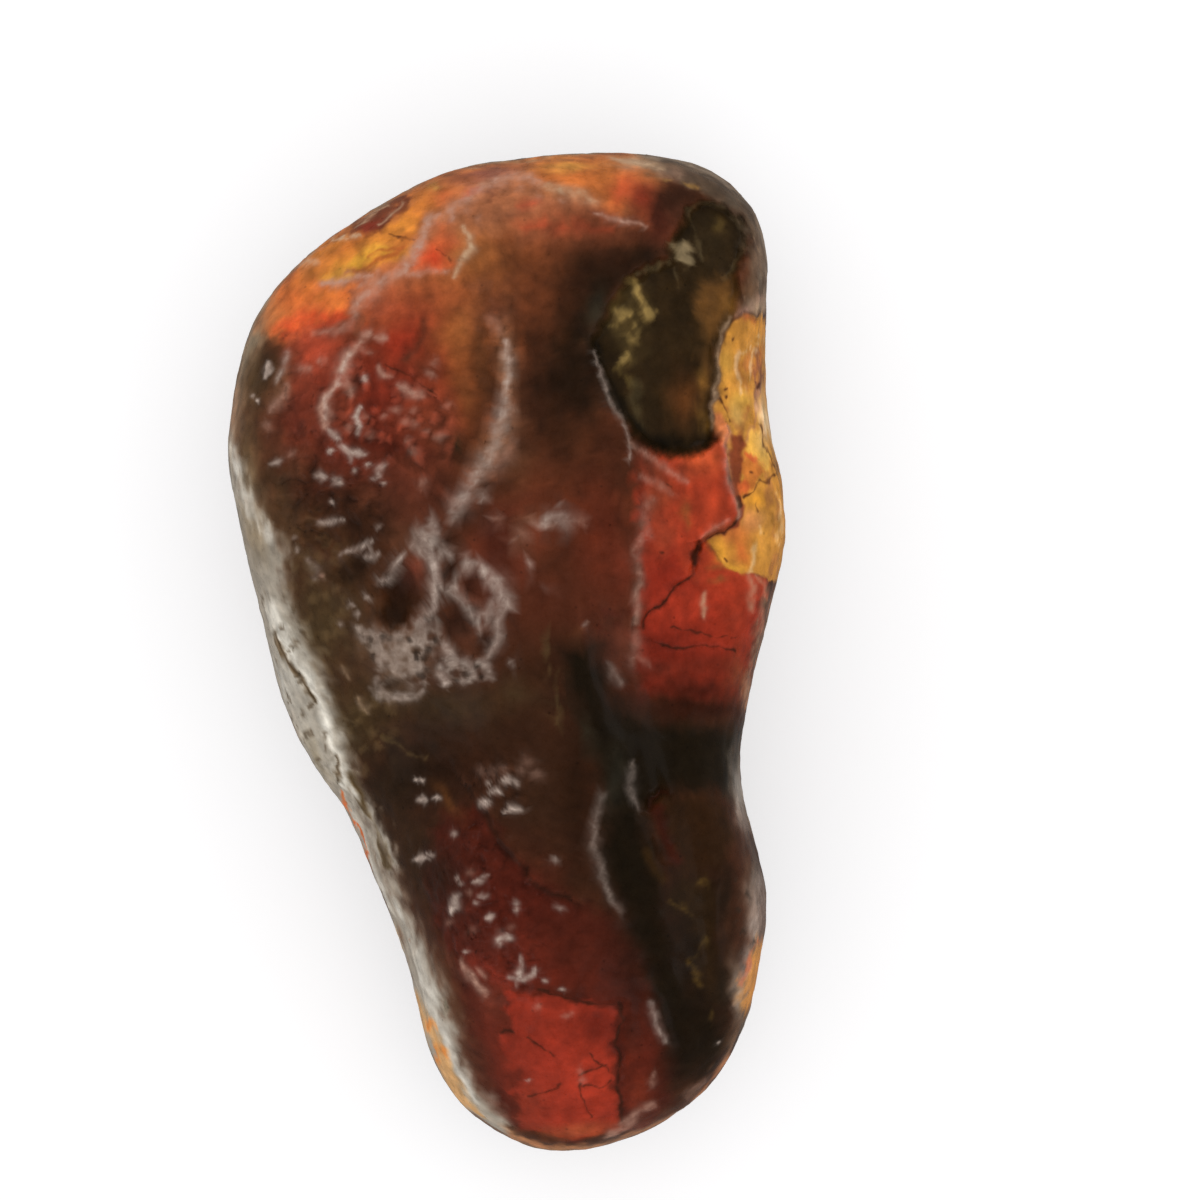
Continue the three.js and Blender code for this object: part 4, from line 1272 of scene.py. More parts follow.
# Painted highlights: pale glints and sheens on crests, bumps and edges, standing in for reflections of the
# lights.
PAINTED_HIGHLIGHTS: tuple[PaintedHighlight, ...] = (
    # The far left and the brow of the basin.
    PaintedHighlight(((-14.4, 16.5), (-14.2, 16.9), (-14.05, 17.3)), 0.11, 0.85),
    PaintedHighlight(((-13.1, 18), (-13.3, 17), (-13.7, 16.2)), 0.17, 0.5),
    *highlight_dots(0.12, 0.7, MILKY_HIGHLIGHT, (-15.1, 15.4), (-14.8, 15.1)),
    PaintedHighlight(((-13, 15.9), (-13.4, 15.2), (-13.9, 14.4)), 0.19, 0.55, PINK_HIGHLIGHT),
    PaintedHighlight(((-8, 19.2), (-8.4, 18.9), (-8.7, 18.4)), 0.17, 0.75, PINK_HIGHLIGHT),
    PaintedHighlight(((-7.7, 19), (-7.1, 18.95)), 0.2, 0.7, PINK_HIGHLIGHT),
    PaintedHighlight(((-8.8, 18.3), (-9.3, 17.7), (-9.6, 17), (-9.9, 16.3), (-10.3, 15.8)), 0.29, 0.85, PINK_HIGHLIGHT),
    PaintedHighlight(((-10.3, 15.8), (-10.7, 15.1), (-10.85, 14.4), (-10.75, 13.5)), 0.26, 0.85, PINK_HIGHLIGHT),
    PaintedHighlight(((-9.6, 16.3), (-9.4, 15.8), (-9.25, 15.3)), 0.2, 0.7, PINK_HIGHLIGHT),
    PaintedHighlight(((-8.8, 18.2), (-8.1, 17.95)), 0.17, 0.6, PINK_HIGHLIGHT),
    PaintedHighlight(((-10.5, 13.5), (-10.2, 13.1), (-9.9, 12.7)), 0.14, 0.75),
    *highlight_dots(0.22, 0.85, MILKY_HIGHLIGHT, (-8.45, 16.35)),
    PaintedHighlight(((-7.5, 17), (-7.2, 16.7), (-6.9, 16.6)), 0.17, 0.65, PINK_HIGHLIGHT),
    PaintedHighlight(((-6.4, 16), (-5.9, 15.6), (-5.4, 15.45), (-4.9, 15.45)), 0.21, 0.75, PINK_HIGHLIGHT),
    PaintedHighlight(((-8.7, 14.6), (-8.95, 14), (-8.7, 13.4), (-8.9, 13.05)), 0.14, 0.8),
    *highlight_dots(0.27, 0.5, PINK_HIGHLIGHT, (-12.3, 16.9), (-11.8, 16.9), (-10.9, 17.4), (-14.2, 13.6), (-12.1, 17)),
    *highlight_dots(0.22, 0.5, PINK_HIGHLIGHT, (-7.1, 14.1), (-6.5, 14.5), (-5.6, 14.5), (-6, 13.8), (-5.45, 13.7),
        (-4.75, 13.3), (-3.9, 12.9), (-5.7, 12.7), (-8.06, 13.05), (-8.35, 14), (-5.4, 12), (-3.5, 14.8),
        (-4.5, 16.6), (-4.2, 17.2), (-4.9, 10.1), (-12.7, 11.9), (-10.9, 4.7), (-9.4, 13.4)),
    PaintedHighlight(((-9.9, 12.3), (-9.3, 12), (-8.8, 12), (-8.4, 11.9)), 0.15, 0.85),
    PaintedHighlight(((-9.3, 12), (-9.3, 11.4)), 0.14, 0.7),
    *highlight_dots(0.13, 0.7, MILKY_HIGHLIGHT, (-10.4, 12), (-8.4, 11.9), (-8.2, 11.2), (-8.9, 10.7), (-7.8, 10.4), (-7.4, 10.2),
        (-10.3, 8.9)),
    PaintedHighlight(((-7.6, 10.6), (-7.6, 11), (-7.15, 11.2)), 0.14, 0.7),
    PaintedHighlight(((-11.2, 10.5), (-10.8, 10.5)), 0.2, 0.75),
    PaintedHighlight(((-10.2, 10.4), (-9.9, 10.2)), 0.22, 0.72),
    PaintedHighlight(((-13.8, 11.3), (-13.4, 11.5)), 0.14, 0.55),
    PaintedHighlight(((-11.1, 7.9), (-10.4, 7.75), (-9.6, 7.95)), 0.14, 0.65),
    PaintedHighlight(((-9.7, 5.8), (-8.8, 6.2), (-8.2, 6.5), (-7.9, 6.8)), 0.14, 0.65),
    PaintedHighlight(((-8.4, 5.7), (-7.6, 5.85)), 0.15, 0.65),
    PaintedHighlight(((-7.5, 4.1), (-7, 4.6), (-6.7, 5.1), (-6.3, 5.6), (-6, 6.1)), 0.17, 0.7),
    *highlight_dots(0.14, 0.5, MILKY_HIGHLIGHT, (-7.5, 7.6), (-12.6, 6.9), (-12.4, 6.2), (-8.9, 2.4), (-9.75, 1.95), (-9.2, 2.8),
        (-8.2, 3.4)),
    PaintedHighlight(((-11.6, 5.6), (-11.2, 5), (-11.4, 4.4)), 0.2, 0.35),
    PaintedHighlight(((-9.2, 17.8), (-9.6, 16.9), (-10.1, 16), (-10.7, 15), (-10.8, 14)), 0.12, 0.85),
    # Pale lines along the crests of the broad end, painted as highlights.
    PaintedHighlight(((-11, 22), (-9.8, 22.2), (-8.8, 22.5), (-8, 22.5)), 0.23, 0.78, PINK_HIGHLIGHT),
    PaintedHighlight(((-9, 20.5), (-8.3, 21.2), (-7.8, 21.8), (-7, 22.3)), 0.32, 0.72, PINK_HIGHLIGHT),
    PaintedHighlight((
        (-7, 22.3), (-6.2, 22.9), (-5.5, 23.6), (-5.05, 24.4), (-4.85, 25.2), (-4.5, 25.8),
    ), 0.24, 0.85, PINK_HIGHLIGHT),
    PaintedHighlight(((-4.8, 25.8), (-4.3, 25.95), (-3.8, 26)), 0.22, 0.78, PINK_HIGHLIGHT),
    PaintedHighlight(((-6.2, 22.7), (-4.8, 22.6), (-3.4, 22.8)), 0.15, 0.65, PINK_HIGHLIGHT),
    PaintedHighlight(((-8.6, 21.8), (-7.8, 22.3), (-7.6, 22.7)), 0.23, 0.65, PINK_HIGHLIGHT),
    PaintedHighlight(((-11.4, 19.2), (-10.2, 19.2), (-9.3, 19.6), (-8.8, 20.3)), 0.18, 0.52, PINK_HIGHLIGHT),
    PaintedHighlight(((-2.6, 25.3), (-2.2, 24.8), (-2.1, 24.2), (-2.6, 23.4), (-3, 22.6)), 0.18, 0.78, STRAW_HIGHLIGHT),
    PaintedHighlight((
        (-3.3, 25.9), (-3.2, 26.5), (-2.5, 27.1), (-1.5, 27.8), (0, 28.4), (1.4, 28.4), (2.1, 27.9),
    ), 0.28, 0.72, PINK_HIGHLIGHT),
    PaintedHighlight(((2.2, 27.8), (3.2, 27.6), (4.4, 27.4), (5.2, 26.9)), 0.23, 0.65, STRAW_HIGHLIGHT),
    PaintedHighlight(((-10.4, 24.7), (-9.4, 24.8), (-8.6, 24.95)), 0.08, 0.85, STRAW_HIGHLIGHT),
    PaintedHighlight(((-12.6, 23.2), (-11.8, 23.4), (-11.2, 23.4)), 0.17, 0.65, STRAW_HIGHLIGHT),
    PaintedHighlight(((5.4, 26.2), (6, 26.05), (6.8, 25.8), (8.2, 25.5)), 0.12, 0.7, PINK_HIGHLIGHT),
    *highlight_dots(0.25, 0.4, PINK_HIGHLIGHT, (-2.4, 26.6), (-0.4, 27.8), (0.8, 27.6), (3.4, 27), (1.8, 27.2), (-1.6, 25.9)),
    PaintedHighlight(((6.4, 29.5), (8, 29.3), (9.4, 29)), 0.18, 0.65, STRAW_HIGHLIGHT),
    PaintedHighlight(((-9, 25.4), (-8, 26.2), (-7, 26.7)), 0.08, 0.65, STRAW_HIGHLIGHT),
    PaintedHighlight(((-7.6, 25.6), (-6.8, 26.2), (-6.2, 26.9)), 0.08, 0.65, STRAW_HIGHLIGHT),
    # The central ridge.
    PaintedHighlight(((-0.9, 20), (-0.4, 19.4), (-0.2, 19)), 0.31, 0.4, PINK_HIGHLIGHT),
    PaintedHighlight(((0, 18.4), (0.2, 17.4), (0.1, 16.4), (0, 15.6)), 0.19, 0.72),
    PaintedHighlight(((0, 15.6), (-0.15, 14.6), (-0.3, 13.4), (-0.5, 12.3)), 0.34, 0.6),
    PaintedHighlight(((-0.6, 12.2), (-1.2, 11.2), (-1.9, 10.5)), 0.39, 0.6),
    PaintedHighlight(((-2.2, 10), (-2.7, 9), (-3.1, 8.1)), 0.34, 0.64),
    PaintedHighlight(((0.5, 12.6), (-0.2, 11.4), (-1, 10.6)), 0.31, 0.5, PINK_HIGHLIGHT),
    PaintedHighlight(((-1.4, 9.8), (-1.5, 9)), 0.17, 0.5),
    PaintedHighlight(((2.2, 7.6), (2.8, 8.1), (3.4, 8), (3.6, 7.4)), 0.26, 0.66),
    PaintedHighlight(((3.3, 8.8), (3.7, 8.5)), 0.17, 0.45),
    *highlight_dots(0.2, 0.5, PINK_HIGHLIGHT, (0.4, 6.8), (0.8, 7.1), (1.4, 7.9), (-0.4, 8.1), (4.6, 7.8), (2.7, 7.6)),
    *highlight_dots(0.14, 0.6, MILKY_HIGHLIGHT, (1.4, 5.3), (1.4, 4.8), (2.45, 4)),
    # The network between the cups.
    PaintedHighlight(((-4.3, 8), (-4.2, 7.1), (-3.8, 6.4), (-3.3, 5.8)), 0.2, 0.65),
    PaintedHighlight(((-4.9, 7.4), (-5.4, 6.6), (-4.9, 6), (-4.4, 5.8), (-3.4, 5.8)), 0.24, 0.6),
    PaintedHighlight(((-4.9, 6.9), (-4.4, 6.5), (-4.5, 6)), 0.29, 0.66),
    PaintedHighlight(((-4.25, 5.6), (-4.2, 4.8), (-4.25, 3.8), (-4.3, 2.9)), 0.26, 0.8),
    PaintedHighlight(((-4.5, 2.5), (-5, 1.9)), 0.26, 0.65),
    PaintedHighlight(((-4, 4), (-3.4, 3.75), (-3, 4.1), (-2.8, 4.5)), 0.17, 0.68),
    PaintedHighlight(((-2.5, 6.1), (-2.3, 5.5), (-2.2, 5)), 0.2, 0.68),
    PaintedHighlight(((-1.8, 5.5), (-1.3, 5.1), (-0.7, 4.5), (-0.3, 3.9), (-0.06, 3.2), (-0.2, 2.6)), 0.27, 0.75),
    PaintedHighlight(((-2.6, 3.4), (-2.2, 2.8), (-1.9, 2.3), (-1.7, 1.9)), 0.2, 0.66),
    PaintedHighlight(((-0.8, 2.8), (-1.05, 2.2), (-1.1, 1.7)), 0.24, 0.62),
    PaintedHighlight(((-0.2, 2.6), (-0.4, 1.8), (-0.4, 1), (-0.7, 0.2), (-1.1, -0.3)), 0.22, 0.6),
    PaintedHighlight(((-3.8, 0.5), (-3.4, 0), (-2.9, -0.4)), 0.24, 0.66),
    PaintedHighlight(((-3.8, -0.7), (-3.7, -1.3), (-3.5, -1.8)), 0.22, 0.6),
    PaintedHighlight(((-2.9, -0.5), (-2.3, -0.5), (-2.1, -1), (-1.9, -1.4)), 0.22, 0.58),
    PaintedHighlight(((-1.7, -0.4), (-1.2, -0.5), (-1, -0.9)), 0.24, 0.7),
    *highlight_dots(0.22, 0.8, MILKY_HIGHLIGHT, (-3.54, -1.78), (-1.3, -0.6)),
    *highlight_dots(0.22, 0.55, MILKY_HIGHLIGHT, (0.4, -0.5), (-2.6, -1.6), (-5, -1.7), (-1.5, 1.4), (-1.4, 2.4)),
    PaintedHighlight(((-7.4, -2.3), (-6.7, -2.6), (-6, -2.7), (-5.3, -2.6), (-4.9, -2.3)), 0.2, 0.55),
    PaintedHighlight(((-7.7, -1.3), (-7.6, -1.9)), 0.2, 0.45),
    PaintedHighlight(((-8.7, -2.6), (-8.4, -3), (-8.2, -3.5)), 0.14, 0.5, STRAW_HIGHLIGHT),
    PaintedHighlight(((-9.75, -0.8), (-9.25, -1.6)), 0.13, 0.4, STRAW_HIGHLIGHT),
    # Painted highlights on the crests of the bubbles of the waist and the narrow end.
    *highlight_dots(0.14, 0.8, MILKY_HIGHLIGHT, (-4.9, -7.5), (-5.3, -7.5), (-4.2, -8.6), (-1, -7.7), (0, -9.4)),
    PaintedHighlight(((-5.1, -8.7), (-4.8, -8.65)), 0.17, 0.8),
    PaintedHighlight(((-0.2, -7.5), (0.2, -7.5)), 0.2, 0.85),
    *highlight_dots(0.18, 0.8, MILKY_HIGHLIGHT, (0.6, -7.65)),
    PaintedHighlight(((-0.9, -8.3), (-0.5, -8.1), (-0.2, -8.3)), 0.15, 0.8),
    PaintedHighlight(((-1.6, -8.9), (-1, -8.9)), 0.19, 0.88),
    PaintedHighlight(((0.2, -9.15), (0.9, -9.35)), 0.19, 0.88),
    *highlight_dots(0.29, 0.4, PINK_HIGHLIGHT, (1.3, -6.5), (-1.4, -7.1), (-0.8, -7), (-0.2, -6.8), (1, -7), (1.8, -7.2)),
    PaintedHighlight(((-5.4, -12.2), (-4.7, -12.3)), 0.15, 0.85),
    PaintedHighlight(((-2.8, -14.4), (-3, -15), (-3.25, -15.3)), 0.2, 0.82),
    *highlight_dots(0.14, 0.62, MILKY_HIGHLIGHT, (-4.5, -12), (-2.8, -13.3), (-2.6, -13.6), (-1.7, -14.8), (-1.3, -14.35),
        (-1.3, -13.2)),
    *highlight_dots(0.22, 0.35, PINK_HIGHLIGHT, (-2.1, -14.2), (-1.9, -12.9), (-3.4, -16), (-1.9, -16.4), (0.4, -16.2)),
    PaintedHighlight(((-1.8, -13.5), (-1.4, -13.5)), 0.15, 0.66),
    PaintedHighlight(((-1.1, -15.75), (-0.75, -15.65)), 0.15, 0.82),
    *highlight_dots(0.17, 0.6, MILKY_HIGHLIGHT, (0.6, -15.2), (0.5, -14.9), (-3.1, -10.65), (2.8, -12.4), (3.2, -15.2)),
    PaintedHighlight(((-0.6, -17), (-0.2, -16.85), (0.2, -16.8)), 0.22, 0.85),
    *highlight_dots(0.14, 0.65, MILKY_HIGHLIGHT, (-0.4, -17.3), (0.05, -16.6), (-2.2, -17.8), (3.4, -19.95), (2.3, -19.3)),
    PaintedHighlight(((-2.6, -18.3), (-2.3, -18.9), (-2, -19.4), (-1.6, -19.9), (-1.2, -20.2)), 0.19, 0.7, PINK_HIGHLIGHT),
    PaintedHighlight(((-1.6, -18.8), (-1.2, -19.3)), 0.14, 0.55, PINK_HIGHLIGHT),
    PaintedHighlight(((0.2, -19.2), (0.9, -19.25), (1.4, -19), (1.7, -18.7)), 0.14, 0.72),
    PaintedHighlight(((0.86, -17.9), (0.82, -18.7), (0.76, -19.7)), 0.14, 0.68),
    *highlight_dots(0.18, 0.45, PINK_HIGHLIGHT, (3.6, -21.5), (3.9, -21.4), (4.5, -25.4), (1.9, -21), (4.4, -25)),
    *highlight_dots(0.09, 0.6, MILKY_HIGHLIGHT, (1.3, -25.4), (12.7, -23.2)),
    PaintedHighlight(((8.8, -25), (8.7, -25.8)), 0.14, 0.5, PINK_HIGHLIGHT),
    PaintedHighlight(((8.7, -26.9), (8.1, -27.2), (7.4, -27.9), (6.8, -28.4), (6.2, -28.8)), 0.2, 0.62, PINK_HIGHLIGHT),
    # Edges of the plates, the pocket and the channel.
    PaintedHighlight(((7.4, 12.6), (8.4, 11.8), (9.4, 11.2), (10.2, 10.6), (10.7, 10.2)), 0.15, 0.5, PINK_HIGHLIGHT),
    PaintedHighlight(((8, 10.5), (9.2, 10.1), (9.9, 9.4)), 0.14, 0.4, PINK_HIGHLIGHT),
    PaintedHighlight(((8.7, 9.2), (8.3, 8.4), (8.2, 7.6), (8.5, 6.9)), 0.22, 0.42, PINK_HIGHLIGHT),
    PaintedHighlight(((7.9, 7.2), (7.9, 5.2), (7.85, 3.4), (7.75, 1.8)), 0.2, 0.56, PINK_HIGHLIGHT),
    PaintedHighlight(((7.7, 1.2), (7.8, 0.4), (7.6, -0.6)), 0.24, 0.4, PINK_HIGHLIGHT),
    PaintedHighlight(((7.9, -0.2), (8.6, -0.6)), 0.14, 0.4, PINK_HIGHLIGHT),
    PaintedHighlight((
        (13.1, 13.4), (13.15, 12.4), (13.2, 11.2), (13.35, 10.1), (13.75, 9.1), (14, 8.4), (13.9, 8),
    ), 0.15, 0.6, PINK_HIGHLIGHT),
    PaintedHighlight(((11.7, 7.1), (12.5, 7.5), (13.2, 7.95)), 0.14, 0.55, PINK_HIGHLIGHT),
    PaintedHighlight(((11.9, 3.6), (11.7, 3), (11.8, 2.2)), 0.14, 0.62, STRAW_HIGHLIGHT),
    PaintedHighlight(((14.4, 4.8), (14.7, 4.2), (14.5, 3.4), (14.6, 2.6)), 0.15, 0.45, STRAW_HIGHLIGHT),
    PaintedHighlight(((15, 4.6), (15.5, 4), (15.5, 3.2), (15.1, 1.6), (14.7, -0.6)), 0.17, 0.45, STRAW_HIGHLIGHT),
    PaintedHighlight(((14.5, -1), (14.4, -2.4)), 0.15, 0.35, STRAW_HIGHLIGHT),
    PaintedHighlight(((5.2, 18), (5.5, 16.9), (6, 15.7), (6.6, 14.5), (7.3, 12.8), (7.4, 11.6)), 0.09, 0.5),
    PaintedHighlight(((6.2, -0.6), (6.5, -1.4), (7, -1.8)), 0.2, 0.35),
    PaintedHighlight(((4.6, 1.6), (4.9, 2)), 0.13, 0.35),
    PaintedHighlight(LEFT_BANK, 0.2, 0.42),
    PaintedHighlight(((7.4, -6.3), (7.35, -7.4), (7.6, -8.6), (8, -9.3)), 0.14, 0.4),
    PaintedHighlight(((8.6, -20.8), (8.9, -21.8), (9.5, -23.2)), 0.19, 0.5),
    PaintedHighlight((
        (13.5, 20.1), (12.9, 19.2), (12.65, 18.2), (12.6, 17), (12.5, 15.8), (12.3, 14.8), (12.1, 14.2),
        (12.3, 13.4),
    ), 0.12, 0.6, STRAW_HIGHLIGHT),
    PaintedHighlight(((13.9, 20.2), (14.6, 20.6), (15.2, 21.3)), 0.2, 0.55, PINK_HIGHLIGHT),
    PaintedHighlight(((15.2, 22.6), (15.2, 24.2)), 0.17, 0.25, STRAW_HIGHLIGHT),
    # The right wall of the narrow end.
    PaintedHighlight(((14, -9.4), (14.4, -10.4)), 0.26, 0.35),
    PaintedHighlight(((15.2, -13.2), (15.2, -15), (14.9, -16.8)), 0.34, 0.5),
    PaintedHighlight(((14.5, -17.4), (14.1, -19.2), (13.8, -21)), 0.26, 0.42),
    PaintedHighlight(((10.8, -26.5), (11.8, -25.6)), 0.17, 0.3, PINK_HIGHLIGHT),
)

# Areas of froth that carry a painted highlight all over, and the holes in them, where it is weaker.
FROTH_HIGHLIGHT = (FOAM, Pool(-2.5, -1, 1.3, 0.6), Pool(-4.7, 6.6, 0.6, 1), Pool(-6.6, -2, 1.2, 0.7))
FROTH_HIGHLIGHT_HOLES = (
    Pool(-7, 0.46, 0.25, 0.22), Pool(-5.3, 0.3, 0.36, 0.32), Pool(-6, -0.33, 0.16, 0.16),
    Pool(-4.45, 1.1, 0.18, 0.18), Pool(-6.5, -1.85, 0.7, 0.4), Pool(-2.9, -1.2, 0.3, 0.2),
    Pool(-1.6, -1.1, 0.2, 0.3), Pool(-2.6, 0.1, 0.4, 0.2), Pool(-4.5, -0.4, 0.2, 0.5),
    Pool(-4.4, -2.4, 0.2, 1),
)

CRACKS: tuple[Trail, ...] = (
    Trail(PLATE_CRACK, 0.03), Trail(((11.5, 6.5), (11.4, 6), (11.3, 5.4)), 0.12), Trail(CROSS_CRACK, 0.03),
    Trail(RIGHT_CRACK, 0.1), *(Trail(crack, 0.04) for crack in END_CRACKS),
    *(Trail(crack, 0.03) for crack in AMBER_CRACKS), Trail(((13.9, 9.4), (14, 9)), 0.12),
    Trail(((8.6, -9.1), (8.7, -8.6), (9.2, -8.3), (9.6, -8.3)), 0.1),
    Trail(((1.9, -20), (2.6, -20.1)), 0.12), Trail(((-4, 24), (-3.4, 23.7), (-3.2, 23.4)), 0.04),
    Trail(((9.8, 1.6), (11, 1.2), (13.6, 1)), 0.01), Trail(((-0.1, -22.5), (0.5, -22.6)), 0.12),
    Trail(((-7.2, 17.3), (-6.2, 16.7), (-5, 15.9), (-4.1, 15.4)), 0.03),
    Trail(((9.2, 6.1), (9.25, 6.15)), 0.08), Trail(((8.9, 5), (8.95, 5.05)), 0.08),
    Trail(((13, 5.8), (13.2, 5.6)), 0.07), Trail(((13.05, 15.35), (13.1, 15.4)), 0.08),
    Trail(((13.1, 15.8), (13.15, 15.8)), 0.06), Trail(((13.7, 18.9), (13.7, 18.8)), 0.04),
    Trail(((15.1, 16.2), (15.05, 15.9)), 0.06), Trail(((15.2, 10.2), (15.3, 10.25)), 0.1),
    Trail(((14.6, 10.8), (14.7, 10.7)), 0.05), Trail(((15.05, 9), (15.05, 8.6)), 0.03),
    Trail(((9.9, 9.9), (9.6, 10.1)), 0.08), Trail(((2.2, -20), (2.5, -20.05)), 0.14),
)

# How polished the skin is, from 0 to 1, and areas that differ: how polished, how soft their edge is, where.
GLOSS = 0.04
POLISHED: tuple[tuple[float, float, tuple[Shape, ...]], ...] = (
    (0.08, 0.6, (NIGHT, LOWER_RED)), (0, 0.5, (CRUST, SCAB)),
)


# ---- The nodule ----


@dataclass(frozen=True)
class FlankPaint:
    """Colours of the sides and the underside, which lie in thin level bands.

    Attributes:
        tones: Screen colours, from the lowest noise to the highest.
        rim: Screen colour of the pale band along the widest line, partly pale skin and partly a painted
            reflection of the bright surroundings.
        rim_height: Height of that line.
        rim_reach: How far the pale band reaches up and down.
        band: Mean thickness of a band.
        stretch: How many times longer than thick a band is.
    """

    tones: tuple[Tone, ...] = ((44, 27, 20), (72, 44, 30), (92, 42, 29), (72, 54, 36), (116, 84, 60))
    rim: Tone = (150, 118, 92)
    rim_height: float = 10.0
    rim_reach: float = 3.0
    band: float = 1.2
    stretch: float = 3.0

    def paint(self, skin: Skin) -> Array:
        """Returns the screen colour of each place, one row each."""
        flat = skin.places * np.array([1 / self.stretch, 1 / self.stretch, 1.0])
        bands = Grain(GrainSeed.LAYER.value).noise(flat, self.band, 3)
        level = 0.5 + 0.55 * bands + 0.35 * skin.noise(GrainSeed.CLOUD, 5.0, 2)
        steps = np.linspace(0.0, 1.0, len(self.tones))
        tones = np.array(self.tones, float)
        tone = np.stack([np.interp(level, steps, tones[:, channel]) for channel in range(3)], axis=1)
        # The pale band along the widest line, partly pale skin and partly a painted reflection.
        near = bell((skin.places[:, 2] - self.rim_height) / self.rim_reach)
        pale = 0.85 * near * (0.75 + 0.5 * bands)
        return blend(tone, self.rim, pale)


def blend(tone: Array, other: Tone | Array, share: Array) -> Array:
    """Blends a colour into others."""
    part = np.clip(share, 0.0, 1.0)[:, None]
    return tone * (1 - part) + np.asarray(other, float) * part


@dataclass(frozen=True)
class Paint:
    """Colours of the whole skin.

    Attributes:
        flank: Colours of the sides and the underside.
        upper_low: Height where the upper side's colours begin.
        upper_high: Height where they are complete.
        mottle: How much light and dark come and go.
        drape: How strong the light and dark streaks along the broad end are.
        warmth: What is added to red, green and blue, against the coolness of the light.
        berry_highlight: Screen colour of the painted highlight on the tops of the small domes.
        froth_highlight: Screen colour of the painted highlight on the froth.
        froth_highlight_strength: How strong the froth's painted highlight is, from 0 to 1.
        pit_shade: Screen colour of the painted shade in the pits of the froth.
        crack: Screen colour of the cracks.
        berry_highlight_share: How much of the painted highlight's colour the domes take.
        mark_share: How much of their colour the pits' painted shade and the cracks take.
        hole_share: How much weaker the froth's painted highlight is in its holes.
        hollow_shade: How much the hollows are darkened.
        crest_light: How much the crests are lightened.
        crest_height: Height or depth that is lightened or darkened in full.
        drape_from: How far along the stone the streaks begin.
        drape_full: How far along it they are complete.
    """

    flank: FlankPaint = FlankPaint()
    upper_low: float = 10.0
    upper_high: float = 13.0
    mottle: float = 0.12
    drape: float = 0.15
    warmth: Colour = (3.0, 0.5, -4.5)
    berry_highlight: Tone = (156, 76, 60)
    froth_highlight: Tone = (184, 165, 151)
    froth_highlight_strength: float = 0.85
    pit_shade: Tone = (54, 37, 29)
    crack: Tone = (52, 24, 17)
    berry_highlight_share: float = 0.35
    mark_share: float = 0.8
    hole_share: float = 0.85
    hollow_shade: float = 0.22
    crest_light: float = 0.18
    crest_height: float = 0.2
    drape_from: float = 4.0
    drape_full: float = 8.0

    def paint(self, skin: Skin, crest: Array) -> Array:
        """Paints the skin.

        Args:
            skin: The carved skin.
            crest: How far each place stands above its surroundings.

        Returns:
            The screen colour of each place, one row each.
        """
        tone = blend(self.flank.paint(skin), BASE_TONE, self.upper(skin))
        for layer in LAYERS:
            tone = blend(tone, layer.tone, layer.mask(skin))
        upper = self.upper(skin)
        # Painted highlights on the tops of the small domes.
        tone = blend(tone, self.berry_highlight, self.berry_highlight_share * BERRIES.cover(skin) * upper)
        # Painted shade in the pits of the froth.
        tone = blend(tone, self.pit_shade, self.mark_share * FOAM_PITS.cover(skin) * upper)
        shade = smoothstep(0.0, self.crest_height, -crest)
        light = smoothstep(0.0, self.crest_height, crest)
        tone = tone * (1 - self.hollow_shade * shade + self.crest_light * light)[:, None]
        tone = blend(tone, self.crack, self.mark_share * cover_any(skin, CRACKS, 0.09, 0.08))
        clouds = self.mottle * skin.noise(GrainSeed.CLOUD, 0.8, 3)
        drapes = Grain(GrainSeed.LAYER.value).noise(skin.places * np.array(DRAPE_STRETCH), 0.9, 4)
        drapes = self.drape * drapes * smoothstep(self.drape_from, self.drape_full, skin.places[:, 1]) * upper
        return (tone + np.array(self.warmth)) * (1 + clouds + drapes)[:, None]

    def upper(self, skin: Skin) -> Array:
        """Returns how far each place belongs to the upper side's colours."""
        height = skin.places[:, 2] + skin.noise(GrainSeed.STRAY, 3.0, 2)
        return smoothstep(self.upper_low, self.upper_high, height)

    def painted_highlight(self, skin: Skin) -> tuple[Array, Array]:
        """Finds how strong the painted highlight is at each place, and which colour it has.

        Args:
            skin: The skin before it is carved.

        Returns:
            A strength from 0 to 1 for each place, and one row with a screen colour for each.
        """
        holes = 1 - self.hole_share * cover_any(skin, FROTH_HIGHLIGHT_HOLES, 0.2, 0.15)
        pits = 1 - 0.6 * FOAM_PITS.cover(skin)
        patchy = 0.75 + 0.25 * skin.noise(GrainSeed.BUBBLE, 0.6, 3)
        froth_highlight = cover_any(skin, FROTH_HIGHLIGHT, 0.45, 0.5) * holes * pits * patchy
        strength = self.froth_highlight_strength * froth_highlight
        weight = strength**2 + 1e-6
        tone = weight[:, None] * np.array(self.froth_highlight, float)
        for glint in PAINTED_HIGHLIGHTS:
            mask = glint.mask(skin)
            strength = np.maximum(strength, mask)
            tone += (mask**2)[:, None] * np.array(glint.tone, float)
            weight += mask**2
        return strength * self.upper(skin), tone / weight[:, None]


